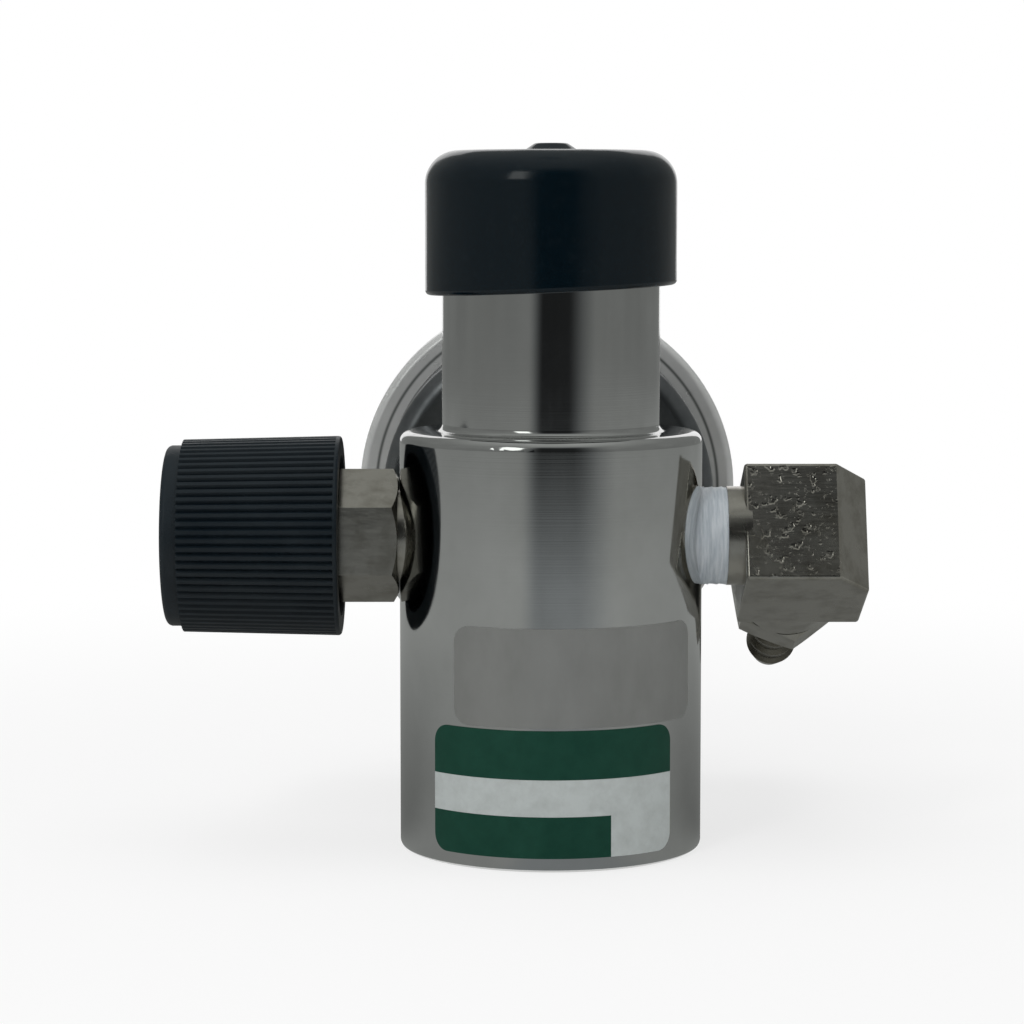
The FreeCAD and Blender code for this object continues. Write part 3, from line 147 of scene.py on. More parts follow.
def maths(tree, operation, first, second=0.0):
    """One sum of two values."""
    node = add_node(tree, "ShaderNodeMath", {0: first, 1: second}, operation=operation)
    return node.outputs["Value"]


def length_of(tree, across, along):
    """Length of an arrow given by two values at right angles."""
    arrow = add_node(tree, "ShaderNodeCombineXYZ", {"X": across, "Y": along})
    return add_node(tree, "ShaderNodeVectorMath", {
        0: arrow.outputs["Vector"]}, operation="LENGTH").outputs["Value"]


def blend_colour(tree, factor, first, second):
    """Colour between two others."""
    node = tree.nodes.new("ShaderNodeMix")
    node.data_type = "RGBA"
    for index, value in ((0, factor), (6, first), (7, second)):
        if isinstance(value, bpy.types.NodeSocket):
            tree.links.new(value, node.inputs[index])
        elif index == 0:
            node.inputs[index].default_value = value
        else:
            node.inputs[index].default_value = (*value, 1.0)
    return node.outputs[2]


def bump(tree, height, depth, under=None, strength=1.0):
    """Surface relief of a height in metres."""
    inputs = {"Height": height, "Distance": depth, "Strength": strength}
    if under is not None:
        inputs["Normal"] = under
    return add_node(tree, "ShaderNodeBump", inputs).outputs["Normal"]


def feed(tree, socket, value):
    """Link a value to a shader's socket."""
    tree.links.new(value, socket)


# Finishes

def chrome_plate():
    """Bright plate over turned rings, with faint smudges."""
    material, tree, shader = new_material("chrome_plate")
    shader.inputs["Metallic"].default_value = 1.0
    smudge = noise(tree, place(tree), 70.0, 4.0, 0.6)
    streak = noise(tree, place(tree, (900, 900, 60)), 1.0, 2.0, 0.5)
    rings = noise(tree, place(tree, (12, 12, 5200)), 1.0, 3.0, 0.7)
    feed(tree, shader.inputs["Base Color"], blend_colour(
        tree, spread(tree, smudge, 0.35, 0.7), (0.64, 0.645, 0.64), (0.57, 0.575, 0.565)))
    rubbed = spread(tree, smudge, 0.4, 0.75, 0.05, 0.13)
    wiped = spread(tree, streak, 0.5, 0.8, 0.0, 0.04)
    feed(tree, shader.inputs["Roughness"], maths(tree, "ADD", rubbed, wiped))
    feed(tree, shader.inputs["Normal"], bump(tree, rings, 0.0000022))
    return material


def nickel_plate(name):
    """Duller, warmer plate with dark stains and small handling marks."""
    material, tree, shader = new_material(name)
    shader.inputs["Metallic"].default_value = 1.0
    stain = noise(tree, place(tree), 260.0, 5.0, 0.65)
    patch = noise(tree, place(tree), 90.0, 3.0, 0.5)
    scratch = noise(tree, place(tree, (300, 4000, 900), (0.3, 0.2, 0.5)), 1.0, 2.0, 0.5)
    feed(tree, shader.inputs["Base Color"], blend_colour(
        tree, spread(tree, stain, 0.45, 0.72), (0.52, 0.50, 0.45), (0.34, 0.32, 0.275)))
    feed(tree, shader.inputs["Roughness"], spread(tree, patch, 0.3, 0.7, 0.14, 0.32))
    relief = maths(tree, "ADD", maths(tree, "MULTIPLY", patch, 3.0), scratch)
    feed(tree, shader.inputs["Normal"], bump(tree, relief, 0.000012))
    return material


def scuffed_nickel():
    """The same plate with the dents and scuffs of a handled front face."""
    material = nickel_plate("scuffed_nickel")
    tree = material.node_tree
    shader = tree.nodes["Principled BSDF"]
    facing = add_node(tree, "ShaderNodeVectorMath", {
        0: place(tree), 1: ELBOW_FRONT}, operation="DOT_PRODUCT").outputs["Value"]
    along = add_node(tree, "ShaderNodeSeparateXYZ", {"Vector": place(tree)}).outputs["X"]
    block = smooth(tree, along, ELBOW_BLOCK_FROM, ELBOW_BLOCK_FROM + 1.0 * MM)
    face = smooth(tree, facing, ELBOW_FACE - 0.25 * MM, ELBOW_FACE - 0.1 * MM)
    front = maths(tree, "MULTIPLY", block, face)
    dents = smooth(tree, noise(tree, place(tree), 700.0, 2.0, 0.5), 0.58, 0.68)
    fine = noise(tree, place(tree, (1, 1, 1), (0.4, 0.9, 0.2)), 1500.0, 3.0, 0.6)
    nicks = smooth(tree, fine, 0.62, 0.68)
    marks = maths(tree, "MULTIPLY", maths(tree, "ADD", dents, nicks), front)
    under = shader.inputs["Normal"].links[0].from_socket
    feed(tree, shader.inputs["Normal"], bump(tree, marks, -0.00005, under))
    return material


def plain_metal(name, light, dark, rough_low, rough_high, grain):
    """Bare metal with tone and polish that vary a little."""
    material, tree, shader = new_material(name)
    shader.inputs["Metallic"].default_value = 1.0
    wander = noise(tree, place(tree), grain, 4.0, 0.6)
    tone = blend_colour(tree, spread(tree, wander, 0.35, 0.7), light, dark)
    feed(tree, shader.inputs["Base Color"], tone)
    feed(tree, shader.inputs["Roughness"], spread(tree, wander, 0.3, 0.7, rough_low, rough_high))
    fine = noise(tree, place(tree), grain * 12.0, 2.0, 0.5)
    feed(tree, shader.inputs["Normal"], bump(tree, fine, 0.000006))
    return material


def rolled_bezel():
    """Satin plate; shade is painted dark into the fold between the two rings of its rolled back
    edge.
    """
    material, tree, shader = new_material("bezel_steel")
    wander = noise(tree, place(tree), 120.0, 4.0, 0.6)
    centred = place(tree, move=(0, 0, -DIAL_CENTRE.z))
    split = add_node(tree, "ShaderNodeSeparateXYZ", {"Vector": centred})
    radius = length_of(tree, split.outputs["X"], split.outputs["Z"])
    edge = BEZEL_BACK + ROLLED_EDGE
    back = smooth(tree, split.outputs["Y"], edge + 0.2 * MM, edge - 0.2 * MM)
    outer = smooth(tree, radius, CREASE_RADIUS + CREASE_HALF, CREASE_RADIUS)
    inner = smooth(tree, radius, CREASE_RADIUS - CREASE_HALF, CREASE_RADIUS)
    crease_shade = maths(tree, "MULTIPLY", outer, inner)
    plain = blend_colour(
        tree, spread(tree, wander, 0.35, 0.7), (0.72, 0.73, 0.72), (0.60, 0.61, 0.60))
    # Painted shade: the fold between the two rings on the rolled back edge is coloured dark.
    feed(tree, shader.inputs["Base Color"], blend_colour(
        tree, maths(tree, "MULTIPLY", crease_shade, back), plain, (0.16, 0.17, 0.165)))
    feed(tree, shader.inputs["Metallic"], spread(tree, back, 0.0, 1.0, 0.9, 0.35))
    feed(tree, shader.inputs["Roughness"], spread(tree, wander, 0.3, 0.7, 0.16, 0.3))
    fine = noise(tree, place(tree), 1440.0, 2.0, 0.5)
    feed(tree, shader.inputs["Normal"], bump(tree, fine, 0.000006))
    return material


def sintered_bronze():
    """Porous bonded grains, each painted darker towards its sunken rim as shade in the pores
    between them.
    """
    material, tree, shader = new_material("sintered_bronze")
    shader.inputs["Metallic"].default_value = 1.0
    grains = add_node(tree, "ShaderNodeTexVoronoi", {"Vector": place(tree), "Scale": 4200.0})
    rim_depth_and_shade = spread(tree, grains.outputs["Distance"], 0.0, 0.7)
    # Painted shade: each grain darkens towards its sunken rim, where the pores between grains lie;
    # the same value sinks the rims.
    feed(tree, shader.inputs["Base Color"], blend_colour(
        tree, rim_depth_and_shade, (0.55, 0.36, 0.18), (0.16, 0.09, 0.04)))
    shader.inputs["Roughness"].default_value = 0.55
    feed(tree, shader.inputs["Normal"], bump(tree, rim_depth_and_shade, -0.00006))
    return material


def dipped_vinyl():
    """Glossy soft skin with slow runs left by dipping."""
    material, tree, shader = new_material("dipped_vinyl")
    runs = noise(tree, place(tree, (1, 1, 0.35)), 120.0, 2.0, 0.4)
    dust = noise(tree, place(tree), 900.0, 3.0, 0.6)
    feed(tree, shader.inputs["Base Color"], blend_colour(
        tree, spread(tree, dust, 0.6, 0.85), (0.0014, 0.0056, 0.0090), (0.0052, 0.0110, 0.0155)))
    feed(tree, shader.inputs["Roughness"], spread(tree, dust, 0.3, 0.8, 0.1, 0.2))
    shader.inputs["IOR"].default_value = 1.45
    feed(tree, shader.inputs["Normal"], bump(tree, runs, 0.00028))
    return material


def moulded_plastic():
    """Satin black moulding with a fine spark-eroded grain."""
    material, tree, shader = new_material("moulded_plastic")
    grain = noise(tree, place(tree), 5200.0, 2.0, 0.5)
    cloud = noise(tree, place(tree), 160.0, 3.0, 0.6)
    feed(tree, shader.inputs["Base Color"], blend_colour(
        tree, spread(tree, cloud, 0.35, 0.75), (0.0045, 0.0100, 0.0148), (0.0075, 0.0145, 0.0200)))
    feed(tree, shader.inputs["Roughness"], spread(tree, cloud, 0.3, 0.7, 0.36, 0.5))
    shader.inputs["IOR"].default_value = 1.45
    feed(tree, shader.inputs["Normal"], bump(tree, grain, 0.000018))
    return material


def plain_polymer(name, light, dark, rough, grain):
    """Unfilled rubber or plastic with slight clouding."""
    material, tree, shader = new_material(name)
    cloud = noise(tree, place(tree), grain, 3.0, 0.6)
    tone = blend_colour(tree, spread(tree, cloud, 0.35, 0.7), light, dark)
    feed(tree, shader.inputs["Base Color"], tone)
    polish = spread(tree, cloud, 0.3, 0.7, rough - 0.06, rough + 0.06)
    feed(tree, shader.inputs["Roughness"], polish)
    feed(tree, shader.inputs["Normal"], bump(tree, cloud, 0.00002))
    return material


def wound_tape():
    """Thin stretched tape: milky, with fine pulls along its length, greyed partly by its thinness
    and partly as painted shade.
    """
    material, tree, shader = new_material("wound_tape")
    pulls = noise(tree, place(tree, (2600, 260, 260)), 1.0, 3.0, 0.6)
    # Painted shade in part: the tape's white is held down to these greys, which its thinness
    # explains only in part.
    feed(tree, shader.inputs["Base Color"], blend_colour(
        tree, spread(tree, pulls, 0.35, 0.7), (0.56, 0.60, 0.63), (0.36, 0.41, 0.45)))
    shader.inputs["Roughness"].default_value = 0.42
    shader.inputs["Subsurface Weight"].default_value = 0.25
    shader.inputs["Subsurface Radius"].default_value = (0.0006, 0.0006, 0.0006)
    feed(tree, shader.inputs["Normal"], bump(tree, pulls, 0.00004))
    return material


def clear_window():
    """Clear plastic window."""
    material, tree, shader = new_material("clear_window")
    shader.inputs["Transmission Weight"].default_value = 1.0
    shader.inputs["IOR"].default_value = 1.45
    haze = noise(tree, place(tree), 120.0, 3.0, 0.5)
    feed(tree, shader.inputs["Roughness"], spread(tree, haze, 0.4, 0.8, 0.0, 0.03))
    tone = blend_colour(tree, haze, (0.99, 0.99, 0.99), (0.96, 0.98, 0.98))
    feed(tree, shader.inputs["Base Color"], tone)
    return material


def dial_enamel():
    """White painted dial, slightly mottled."""
    material, tree, shader = new_material("dial_enamel")
    mottle = noise(tree, place(tree), 300.0, 4.0, 0.6)
    feed(tree, shader.inputs["Base Color"], blend_colour(
        tree, spread(tree, mottle, 0.3, 0.8), (0.86, 0.86, 0.84), (0.80, 0.80, 0.77)))
    shader.inputs["Roughness"].default_value = 0.5
    feed(tree, shader.inputs["Normal"], bump(tree, mottle, 0.00001))
    return material


def silver_film():
    """Grey film with a dull metal sheen, slightly rubbed."""
    material, tree, shader = new_material("silver_film")
    rub = noise(tree, place(tree, (1, 1, 0.5)), 160.0, 4.0, 0.6)
    feed(tree, shader.inputs["Base Color"], blend_colour(
        tree, spread(tree, rub, 0.35, 0.75), (0.235, 0.24, 0.230), (0.285, 0.29, 0.28)))
    feed(tree, shader.inputs["Roughness"], spread(tree, rub, 0.3, 0.7, 0.3, 0.42))
    shader.inputs["Metallic"].default_value = 0.35
    feed(tree, shader.inputs["Normal"], bump(tree, rub, 0.000012))
    return material


# Printed fields of the lower label, as heights above the base and a place along X
BAND_LOW = 7.55 * MM
BAND_HIGH = 12.47 * MM
CORNER_FROM = 7.8 * MM


def printed_label():
    """Green label with a white band across it and a white lower right corner."""
    material, tree, shader = new_material("printed_label")
    coords = add_node(tree, "ShaderNodeTexCoord")
    split = add_node(tree, "ShaderNodeSeparateXYZ", {"Vector": coords.outputs["Object"]})
    above = maths(tree, "GREATER_THAN", split.outputs["Z"], BAND_LOW)
    below = maths(tree, "LESS_THAN", split.outputs["Z"], BAND_HIGH)
    band = maths(tree, "MULTIPLY", above, below)
    under = maths(tree, "LESS_THAN", split.outputs["Z"], BAND_LOW)
    beside = maths(tree, "GREATER_THAN", split.outputs["X"], CORNER_FROM)
    corner = maths(tree, "MULTIPLY", under, beside)
    white = maths(tree, "MAXIMUM", band, corner)
    wear = noise(tree, place(tree), 420.0, 5.0, 0.65)
    green = blend_colour(
        tree, spread(tree, wear, 0.35, 0.75), (0.0016, 0.045, 0.027), (0.004, 0.059, 0.036))
    paper = blend_colour(tree, spread(tree, wear, 0.4, 0.8), (0.50, 0.54, 0.53), (0.40, 0.43, 0.42))
    feed(tree, shader.inputs["Base Color"], blend_colour(tree, white, green, paper))
    shader.inputs["Specular IOR Level"].default_value = 0.3
    feed(tree, shader.inputs["Roughness"], spread(tree, wear, 0.3, 0.7, 0.3, 0.42))
    feed(tree, shader.inputs["Normal"], bump(tree, wear, 0.000014))
    return material


FINISHES = {
    "chrome_plate": chrome_plate(),
    "cap_vinyl": dipped_vinyl(),
    "seal_rubber": plain_polymer(
        "seal_rubber", (0.018, 0.018, 0.019), (0.03, 0.03, 0.03), 0.6, 500.0),
    "sintered_bronze": sintered_bronze(),
    "bare_brass": plain_metal(
        "bare_brass", (0.78, 0.56, 0.25), (0.60, 0.41, 0.17), 0.18, 0.34, 300.0),
    "spring_steel": plain_metal(
        "spring_steel", (0.52, 0.52, 0.54), (0.36, 0.36, 0.38), 0.2, 0.36, 400.0),
    "seat_nylon": plain_polymer("seat_nylon", (0.82, 0.81, 0.76), (0.74, 0.73, 0.68), 0.4, 300.0),
    "nickel_plate": nickel_plate("nickel_plate"),
    "knob_plastic": moulded_plastic(),
    "tape_white": wound_tape(),
    "case_steel": plain_metal(
        "case_steel", (0.27, 0.28, 0.29), (0.18, 0.19, 0.20), 0.24, 0.4, 160.0),
    "bezel_steel": rolled_bezel(),
    "window_clear": clear_window(),
    "dial_white": dial_enamel(),
    "pointer_black": plain_polymer(
        "pointer_black", (0.012, 0.012, 0.013), (0.02, 0.02, 0.021), 0.4, 300.0),
    "label_silver": silver_film(),
    "label_green": printed_label(),
}


# Round shading: how near points are one, how sharp edges stay, and how much large faces lead
SAME_POINT = 0.000002
SHARP_EDGE = math.radians(28.0)
LARGE_FACES_LEAD = 90


def dress_nodes():
    """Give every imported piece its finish, and round shading between its flat facets."""
    slots = {entry["node"]: entry["material_slot"] for entry in frame["record"]["subparts"]}
    scuffed = scuffed_nickel()
    for name, node in frame["nodes"].items():
        node.data.materials.clear()
        node.data.materials.append(scuffed if name == "outlet_elbow" else FINISHES[slots[name]])
        node.data.polygons.foreach_set("use_smooth", [True] * len(node.data.polygons))
        weld = node.modifiers.new("join_facets", "WELD")
        weld.merge_threshold = SAME_POINT
        split = node.modifiers.new("keep_edges", "EDGE_SPLIT")
        split.split_angle = SHARP_EDGE
        level = node.modifiers.new("level_faces", "WEIGHTED_NORMAL")
        level.mode = "FACE_AREA"
        level.weight = LARGE_FACES_LEAD


# Objects and meshes

def in_scene(name, data):
    """Object that shows some data, linked to the scene."""
    thing = bpy.data.objects.new(name, data)
    bpy.context.scene.collection.objects.link(thing)
    return thing


def piece_from(name, vertices, faces, material, body):
    """Round-shaded object of a mesh in the shared frame, riding on a body."""
    mesh = bpy.data.meshes.new(name)
    mesh.from_pydata(vertices, [], faces)
    mesh.materials.append(material)
    mesh.polygons.foreach_set("use_smooth", [True] * len(mesh.polygons))
    piece = in_scene(name, mesh)
    outward(mesh)
    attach(piece, body)
    return piece


def outward(mesh):
    """Join doubled points and turn every face outwards."""
    work = bmesh.new()
    work.from_mesh(mesh)
    bmesh.ops.remove_doubles(work, verts=work.verts, dist=0.0000005)
    bmesh.ops.recalc_face_normals(work, faces=work.faces)
    work.to_mesh(mesh)
    work.free()


# Geometry trees

def new_tree(name, sizes):
    """Geometry tree with named sizes as inputs."""
    tree = bpy.data.node_groups.new(name, "GeometryNodeTree")
    tree.interface.new_socket("Geometry", in_out="OUTPUT", socket_type="NodeSocketGeometry")
    for key, value in sizes.items():
        whole = isinstance(value, int)
        kind = "NodeSocketInt" if whole else "NodeSocketFloat"
        socket = tree.interface.new_socket(key, in_out="INPUT", socket_type=kind)
        socket.default_value = value
    start = tree.nodes.new("NodeGroupInput")
    end = tree.nodes.new("NodeGroupOutput")
    return tree, start, end


def grow(name, tree, sizes, body):
    """Run a geometry tree with its sizes and keep the result as a plain, flat-shaded mesh."""
    seed = in_scene(name + "_seed", bpy.data.meshes.new(name + "_seed"))
    modifier = seed.modifiers.new("grow", "NODES")
    modifier.node_group = tree
    for item in tree.interface.items_tree:
        if item.in_out == "INPUT" and item.name in sizes:
            modifier[item.identifier] = sizes[item.name]
    graph = bpy.context.evaluated_depsgraph_get()
    mesh = bpy.data.meshes.new_from_object(seed.evaluated_get(graph))
    bpy.data.objects.remove(seed)
    mesh.name = name
    outward(mesh)
    mesh.polygons.foreach_set("use_smooth", [False] * len(mesh.polygons))
    piece = in_scene(name, mesh)
    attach(piece, body)
    return piece


def finish_tree(tree, end, geometry, material):
    """End a tree in real geometry with its material."""
    real = add_node(tree, "GeometryNodeRealizeInstances", {"Geometry": geometry})
    painted = add_node(tree, "GeometryNodeSetMaterial", {"Geometry": real.outputs["Geometry"]})
    painted.inputs["Material"].default_value = material
    tree.links.new(painted.outputs["Geometry"], end.inputs["Geometry"])


def dial_marks_tree(material, sizes):
    """Bars spread by index round the gauge's axis."""
    tree, start, end = new_tree("dial_marks", sizes)
    points = add_node(tree, "GeometryNodePoints", {"Count": start.outputs["Count"]})
    index = add_node(tree, "GeometryNodeInputIndex")
    turned = maths(tree, "MULTIPLY", index.outputs["Index"], start.outputs["Step"])
    angle = maths(tree, "ADD", turned, start.outputs["Start"])
    arm = add_node(tree, "ShaderNodeCombineXYZ", {"X": start.outputs["Radius"]})
    spot = add_node(tree, "ShaderNodeVectorRotate", {
        "Vector": arm.outputs["Vector"], "Axis": (0, -1, 0), "Angle": angle},
        rotation_type="AXIS_ANGLE")
    centre = add_node(tree, "ShaderNodeCombineXYZ", {
        "Y": start.outputs["Face"], "Z": start.outputs["Height"]})
    moved = add_node(tree, "ShaderNodeVectorMath", {
        0: spot.outputs["Vector"], 1: centre.outputs["Vector"]}, operation="ADD")
    placed = add_node(tree, "GeometryNodeSetPosition", {
        "Geometry": points.outputs["Points"], "Position": moved.outputs["Vector"]})
    size = add_node(tree, "ShaderNodeCombineXYZ", {
        "X": start.outputs["Length"], "Y": start.outputs["Thickness"], "Z": start.outputs["Width"]})
    bar = add_node(tree, "GeometryNodeMeshCube", {"Size": size.outputs["Vector"]})
    spin = add_node(tree, "FunctionNodeAxisAngleToRotation", {"Axis": (0, -1, 0), "Angle": angle})
    copies = add_node(tree, "GeometryNodeInstanceOnPoints", {
        "Points": placed.outputs["Geometry"], "Instance": bar.outputs["Mesh"],
        "Rotation": spin.outputs["Rotation"]})
    finish_tree(tree, end, copies.outputs["Instances"], material)
    return tree


def spiral_ridge_tree(material, sizes):
    """Triangular ridge along a spiral up the Z axis."""
    tree, start, end = new_tree("spiral_ridge", sizes)
    path = add_node(tree, "GeometryNodeCurveSpiral", {
        "Resolution": 48, "Rotations": start.outputs["Turns"], "Height": start.outputs["Rise"],
        "Start Radius": start.outputs["Radius"], "End Radius": start.outputs["Radius"]})
    profile = add_node(tree, "GeometryNodeCurvePrimitiveCircle", {
        "Resolution": 4, "Radius": start.outputs["Depth"]})
    ridge = add_node(tree, "GeometryNodeCurveToMesh", {
        "Curve": path.outputs["Curve"], "Profile Curve": profile.outputs["Curve"],
        "Fill Caps": True})
    lift = add_node(tree, "ShaderNodeCombineXYZ", {"Z": start.outputs["Foot"]})
    raised = add_node(tree, "GeometryNodeTransform", {
        "Geometry": ridge.outputs["Mesh"], "Translation": lift.outputs["Vector"]})
    finish_tree(tree, end, raised.outputs["Geometry"], material)
    return tree


# Added pieces

INLET_RADIUS = 12.15 * MM
THREAD_PITCH = 1.27 * MM
THREAD_DEPTH = 0.42 * MM
THREAD_FOOT_GAP = 0.9 * MM
THREAD_MOUTH_GAP = 1.6 * MM


def inlet_thread():
    """Fine thread inside the neck's mouth."""
    foot = GASKET_TOP + THREAD_FOOT_GAP
    rise = NECK_TOP - THREAD_MOUTH_GAP - foot
    sizes = {"Turns": rise / THREAD_PITCH, "Radius": INLET_RADIUS, "Rise": rise,
             "Depth": THREAD_DEPTH, "Foot": foot}
    tree = spiral_ridge_tree(FINISHES["chrome_plate"], sizes)
    return grow("inlet_thread", tree, sizes, "housing")


DIAL_STEPS = 6
SHORT_STEPS = 10 * DIAL_STEPS
DIAL_SWEEP = math.radians(270.0)
DIAL_ZERO = math.radians(-45.0)
MARK_THICK = 0.05 * MM


def dial_marks():
    """Long and short scale marks on the dial."""
    ink = plain_polymer("dial_ink", (0.012, 0.012, 0.013), (0.02, 0.02, 0.02), 0.45, 300.0)
    shared = {"Start": DIAL_ZERO, "Face": DIAL_FACE + 0.4 * MARK_THICK, "Height": DIAL_CENTRE.z,
              "Thickness": MARK_THICK}
    kinds = {
        "dial_long_marks": {"Count": DIAL_STEPS + 1, "Step": DIAL_SWEEP / DIAL_STEPS,
                            "Radius": 19.6 * MM, "Length": 3.0 * MM, "Width": 0.5 * MM},
        "dial_short_marks": {"Count": SHORT_STEPS + 1, "Step": DIAL_SWEEP / SHORT_STEPS,
                             "Radius": 20.4 * MM, "Length": 1.4 * MM, "Width": 0.22 * MM},
    }
    for name, sizes in kinds.items():
        sizes = {**sizes, **shared}
        tree = dial_marks_tree(ink, sizes)
        grow(name, tree, sizes, "housing")
    return ink


NUMBER_STEP = 500
NUMBER_SIZE = 3.1 * MM
NUMBER_REACH = 14.6 * MM
FACING_BACK = Matrix(((-1, 0, 0, 0), (0, 0, 1, 0), (0, 1, 0, 0), (0, 0, 0, 1)))


def dial_numbers(ink):
    """Plain numbers round the dial, read from the gauge's front."""
    meshes = []
    for index in range(DIAL_STEPS + 1):
        angle = DIAL_ZERO + DIAL_SWEEP * index / DIAL_STEPS
        words = bpy.data.curves.new("number", "FONT")
        words.body = str(NUMBER_STEP * index)
        words.size = NUMBER_SIZE
        words.align_x = "CENTER"
        words.align_y = "CENTER"
        words.extrude = 0.5 * MARK_THICK
        carrier = in_scene("number", words)
        graph = bpy.context.evaluated_depsgraph_get()
        graph.update()
        mesh = bpy.data.meshes.new_from_object(carrier.evaluated_get(graph))
        bpy.data.objects.remove(carrier)
        spot = Vector((NUMBER_REACH * math.cos(angle), DIAL_FACE + 0.4 * MARK_THICK,
                       DIAL_CENTRE.z + NUMBER_REACH * math.sin(angle)))
        mesh.transform(Matrix.Translation(spot) @ FACING_BACK)
        meshes.append(mesh)
    joined = bmesh.new()
    for mesh in meshes:
        joined.from_mesh(mesh)
    result = bpy.data.meshes.new("dial_numbers")
    joined.to_mesh(result)
    joined.free()
    outward(result)
    result.materials.clear()
    result.materials.append(ink)
    piece = in_scene("dial_numbers", result)
    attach(piece, "housing")
    return piece


TAPE_INNER = 6.45 * MM
TAPE_PITCH = 1.25 * MM
TAPE_LEDGE = 0.15 * MM
TAPE_WAVES = 0.025 * MM
WAVE_START = 0.6


def wave(angle, along):
    """Small smooth unevenness of wound tape, the same on each run."""
    return (math.sin(3.0 * angle + WAVE_START) * math.sin(1.7 * along + 0.5 * WAVE_START)
            + 0.5 * math.sin(7.0 * angle - 2.0 * along + WAVE_START))


def tape_wraps():
    """Tape wound on the outlet thread, each turn over the edge of the last."""
    around = 128
    along = 44
    outer = (tape_high.z - tape_low.z) / 2.0
    length = tape_high.x - tape_low.x
    vertices = []
    faces = []
    rows = along + 3
    for row in range(rows):
        share = min(max(row - 1, 0), along) / along
        x = tape_low.x + share * length
        for step in range(around):
            angle = 2.0 * math.pi * step / around
            turns = (x - tape_low.x) / TAPE_PITCH + angle / (2.0 * math.pi)
            ledge = (turns % 1.0) ** 3
            sunk = TAPE_LEDGE * (1.0 - ledge) + TAPE_WAVES * (1.0 + wave(angle, turns))
            radius = outer - sunk
            if row in (0, rows - 1):
                radius = TAPE_INNER
            vertices.append((x, TAPE_CENTRE.y + radius * math.cos(angle),
                             TAPE_CENTRE.z + radius * math.sin(angle)))
    for row in range(rows):
        following = (row + 1) % rows
        for step in range(around):
            beside = (step + 1) % around
            faces.append((row * around + step, row * around + beside,
                          following * around + beside, following * around + step))
    wraps = piece_from(
        "tape_wraps", vertices, faces, FINISHES["tape_white"], "housing")
    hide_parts("thread_tape")
    return wraps


# Room

def where(tree):
    """Distance from the part's axis, bearing from the camera's side, and elevation."""
    coords = add_node(tree, "ShaderNodeTexCoord")
    split = add_node(tree, "ShaderNodeSeparateXYZ", {"Vector": coords.outputs["Object"]})
    reach = length_of(tree, split.outputs["X"], split.outputs["Y"])
    ahead = maths(tree, "MULTIPLY", split.outputs["Y"], -1.0)
    bearing = maths(tree, "ARCTAN2", split.outputs["X"], ahead)
    return reach, bearing, maths(tree, "ARCTAN2", split.outputs["Z"], reach)


def background_rays(tree):
    """One where the pale background is seen: directly, mirrored or through the window."""
    path = add_node(tree, "ShaderNodeLightPath")
    glossy = path.outputs["Is Glossy Ray"]
    mirrored = maths(tree, "MAXIMUM", glossy, path.outputs["Is Transmission Ray"])
    return maths(tree, "MAXIMUM", path.outputs["Is Camera Ray"], mirrored)


FLOOR_PALE = 0.72
FADE_FROM = 90 * MM
FADE_TO = 300 * MM


def floor_material():
    """Pale floor that keeps the part's shadow and fades to the white behind it."""
    material, tree, shader = new_material("studio_floor")
    shader.inputs["Base Color"].default_value = (0.86, 0.86, 0.86, 1.0)
    shader.inputs["Roughness"].default_value = 0.7
    shader.inputs["Specular IOR Level"].default_value = 0.2
    grain = noise(tree, place(tree), 900.0, 2.0, 0.5)
    feed(tree, shader.inputs["Normal"], bump(tree, grain, 0.00002, strength=0.3))
    reach = where(tree)[0]
    pale = spread(tree, smooth(tree, reach, FADE_FROM, FADE_TO), 0.0, 1.0, FLOOR_PALE, 1.0)
    glow = add_node(tree, "ShaderNodeEmission", {"Color": (1, 1, 1, 1), "Strength": 1.0})
    white = add_node(tree, "ShaderNodeMixShader", {
        "Fac": maths(tree, "MULTIPLY", pale, background_rays(tree)),
        1: shader.outputs["BSDF"], 2: glow.outputs["Emission"]})
    tree.links.new(white.outputs["Shader"], tree.nodes["Material Output"].inputs["Surface"])
    return material


def stage_piece(name, vertices, faces, material, only_mirrored=False):
    """Piece of the room; some of it only shiny surfaces show."""
    mesh = bpy.data.meshes.new(name)
    mesh.from_pydata(vertices, [], faces)
    mesh.materials.append(material)
    piece = in_scene(name, mesh)
    if only_mirrored:
        piece.visible_camera = False
        piece.visible_diffuse = False
        piece.visible_shadow = False
        piece.visible_transmission = False
    return piece


# Mirrored room: tones, and the soft edges of a dark screen (degrees) and of a window (radians),
# as bearing from the camera's side or elevation
# The two table tones are the part's shadow painted on the table: in front of it, and darker behind
# it.
TABLE_SHADOW = 0.26
TABLE_SHADOW_BEHIND = 0.17
WALL_TONE = 0.34
WALL_TONE_FAR = 0.20
CEILING_LIFT = 0.07
SCREEN_LEFT = (-24.0, -8.0)
SCREEN_RIGHT = (50.0, 16.0)
SCREEN_TOP = (60.0, 36.0)
SCREEN_DEPTH = (0.12, 0.92)
WINDOW_BRIGHT = 1.5
WINDOW_LEFT = (-0.72, -0.66)
WINDOW_RIGHT = (-0.38, -0.44)
WINDOW_SILL = (0.26, 0.32)
WINDOW_HEAD = (0.74, 0.68)


def soft_field(tree, value, first, second):
    """One between two soft edges, each given as the values where it is 0 and where it is 1."""
    return maths(tree, "MULTIPLY", smooth(tree, value, *first), smooth(tree, value, *second))


def in_radians(edge):
    """The two values of a soft edge, in radians."""
    return tuple(math.radians(value) for value in edge)


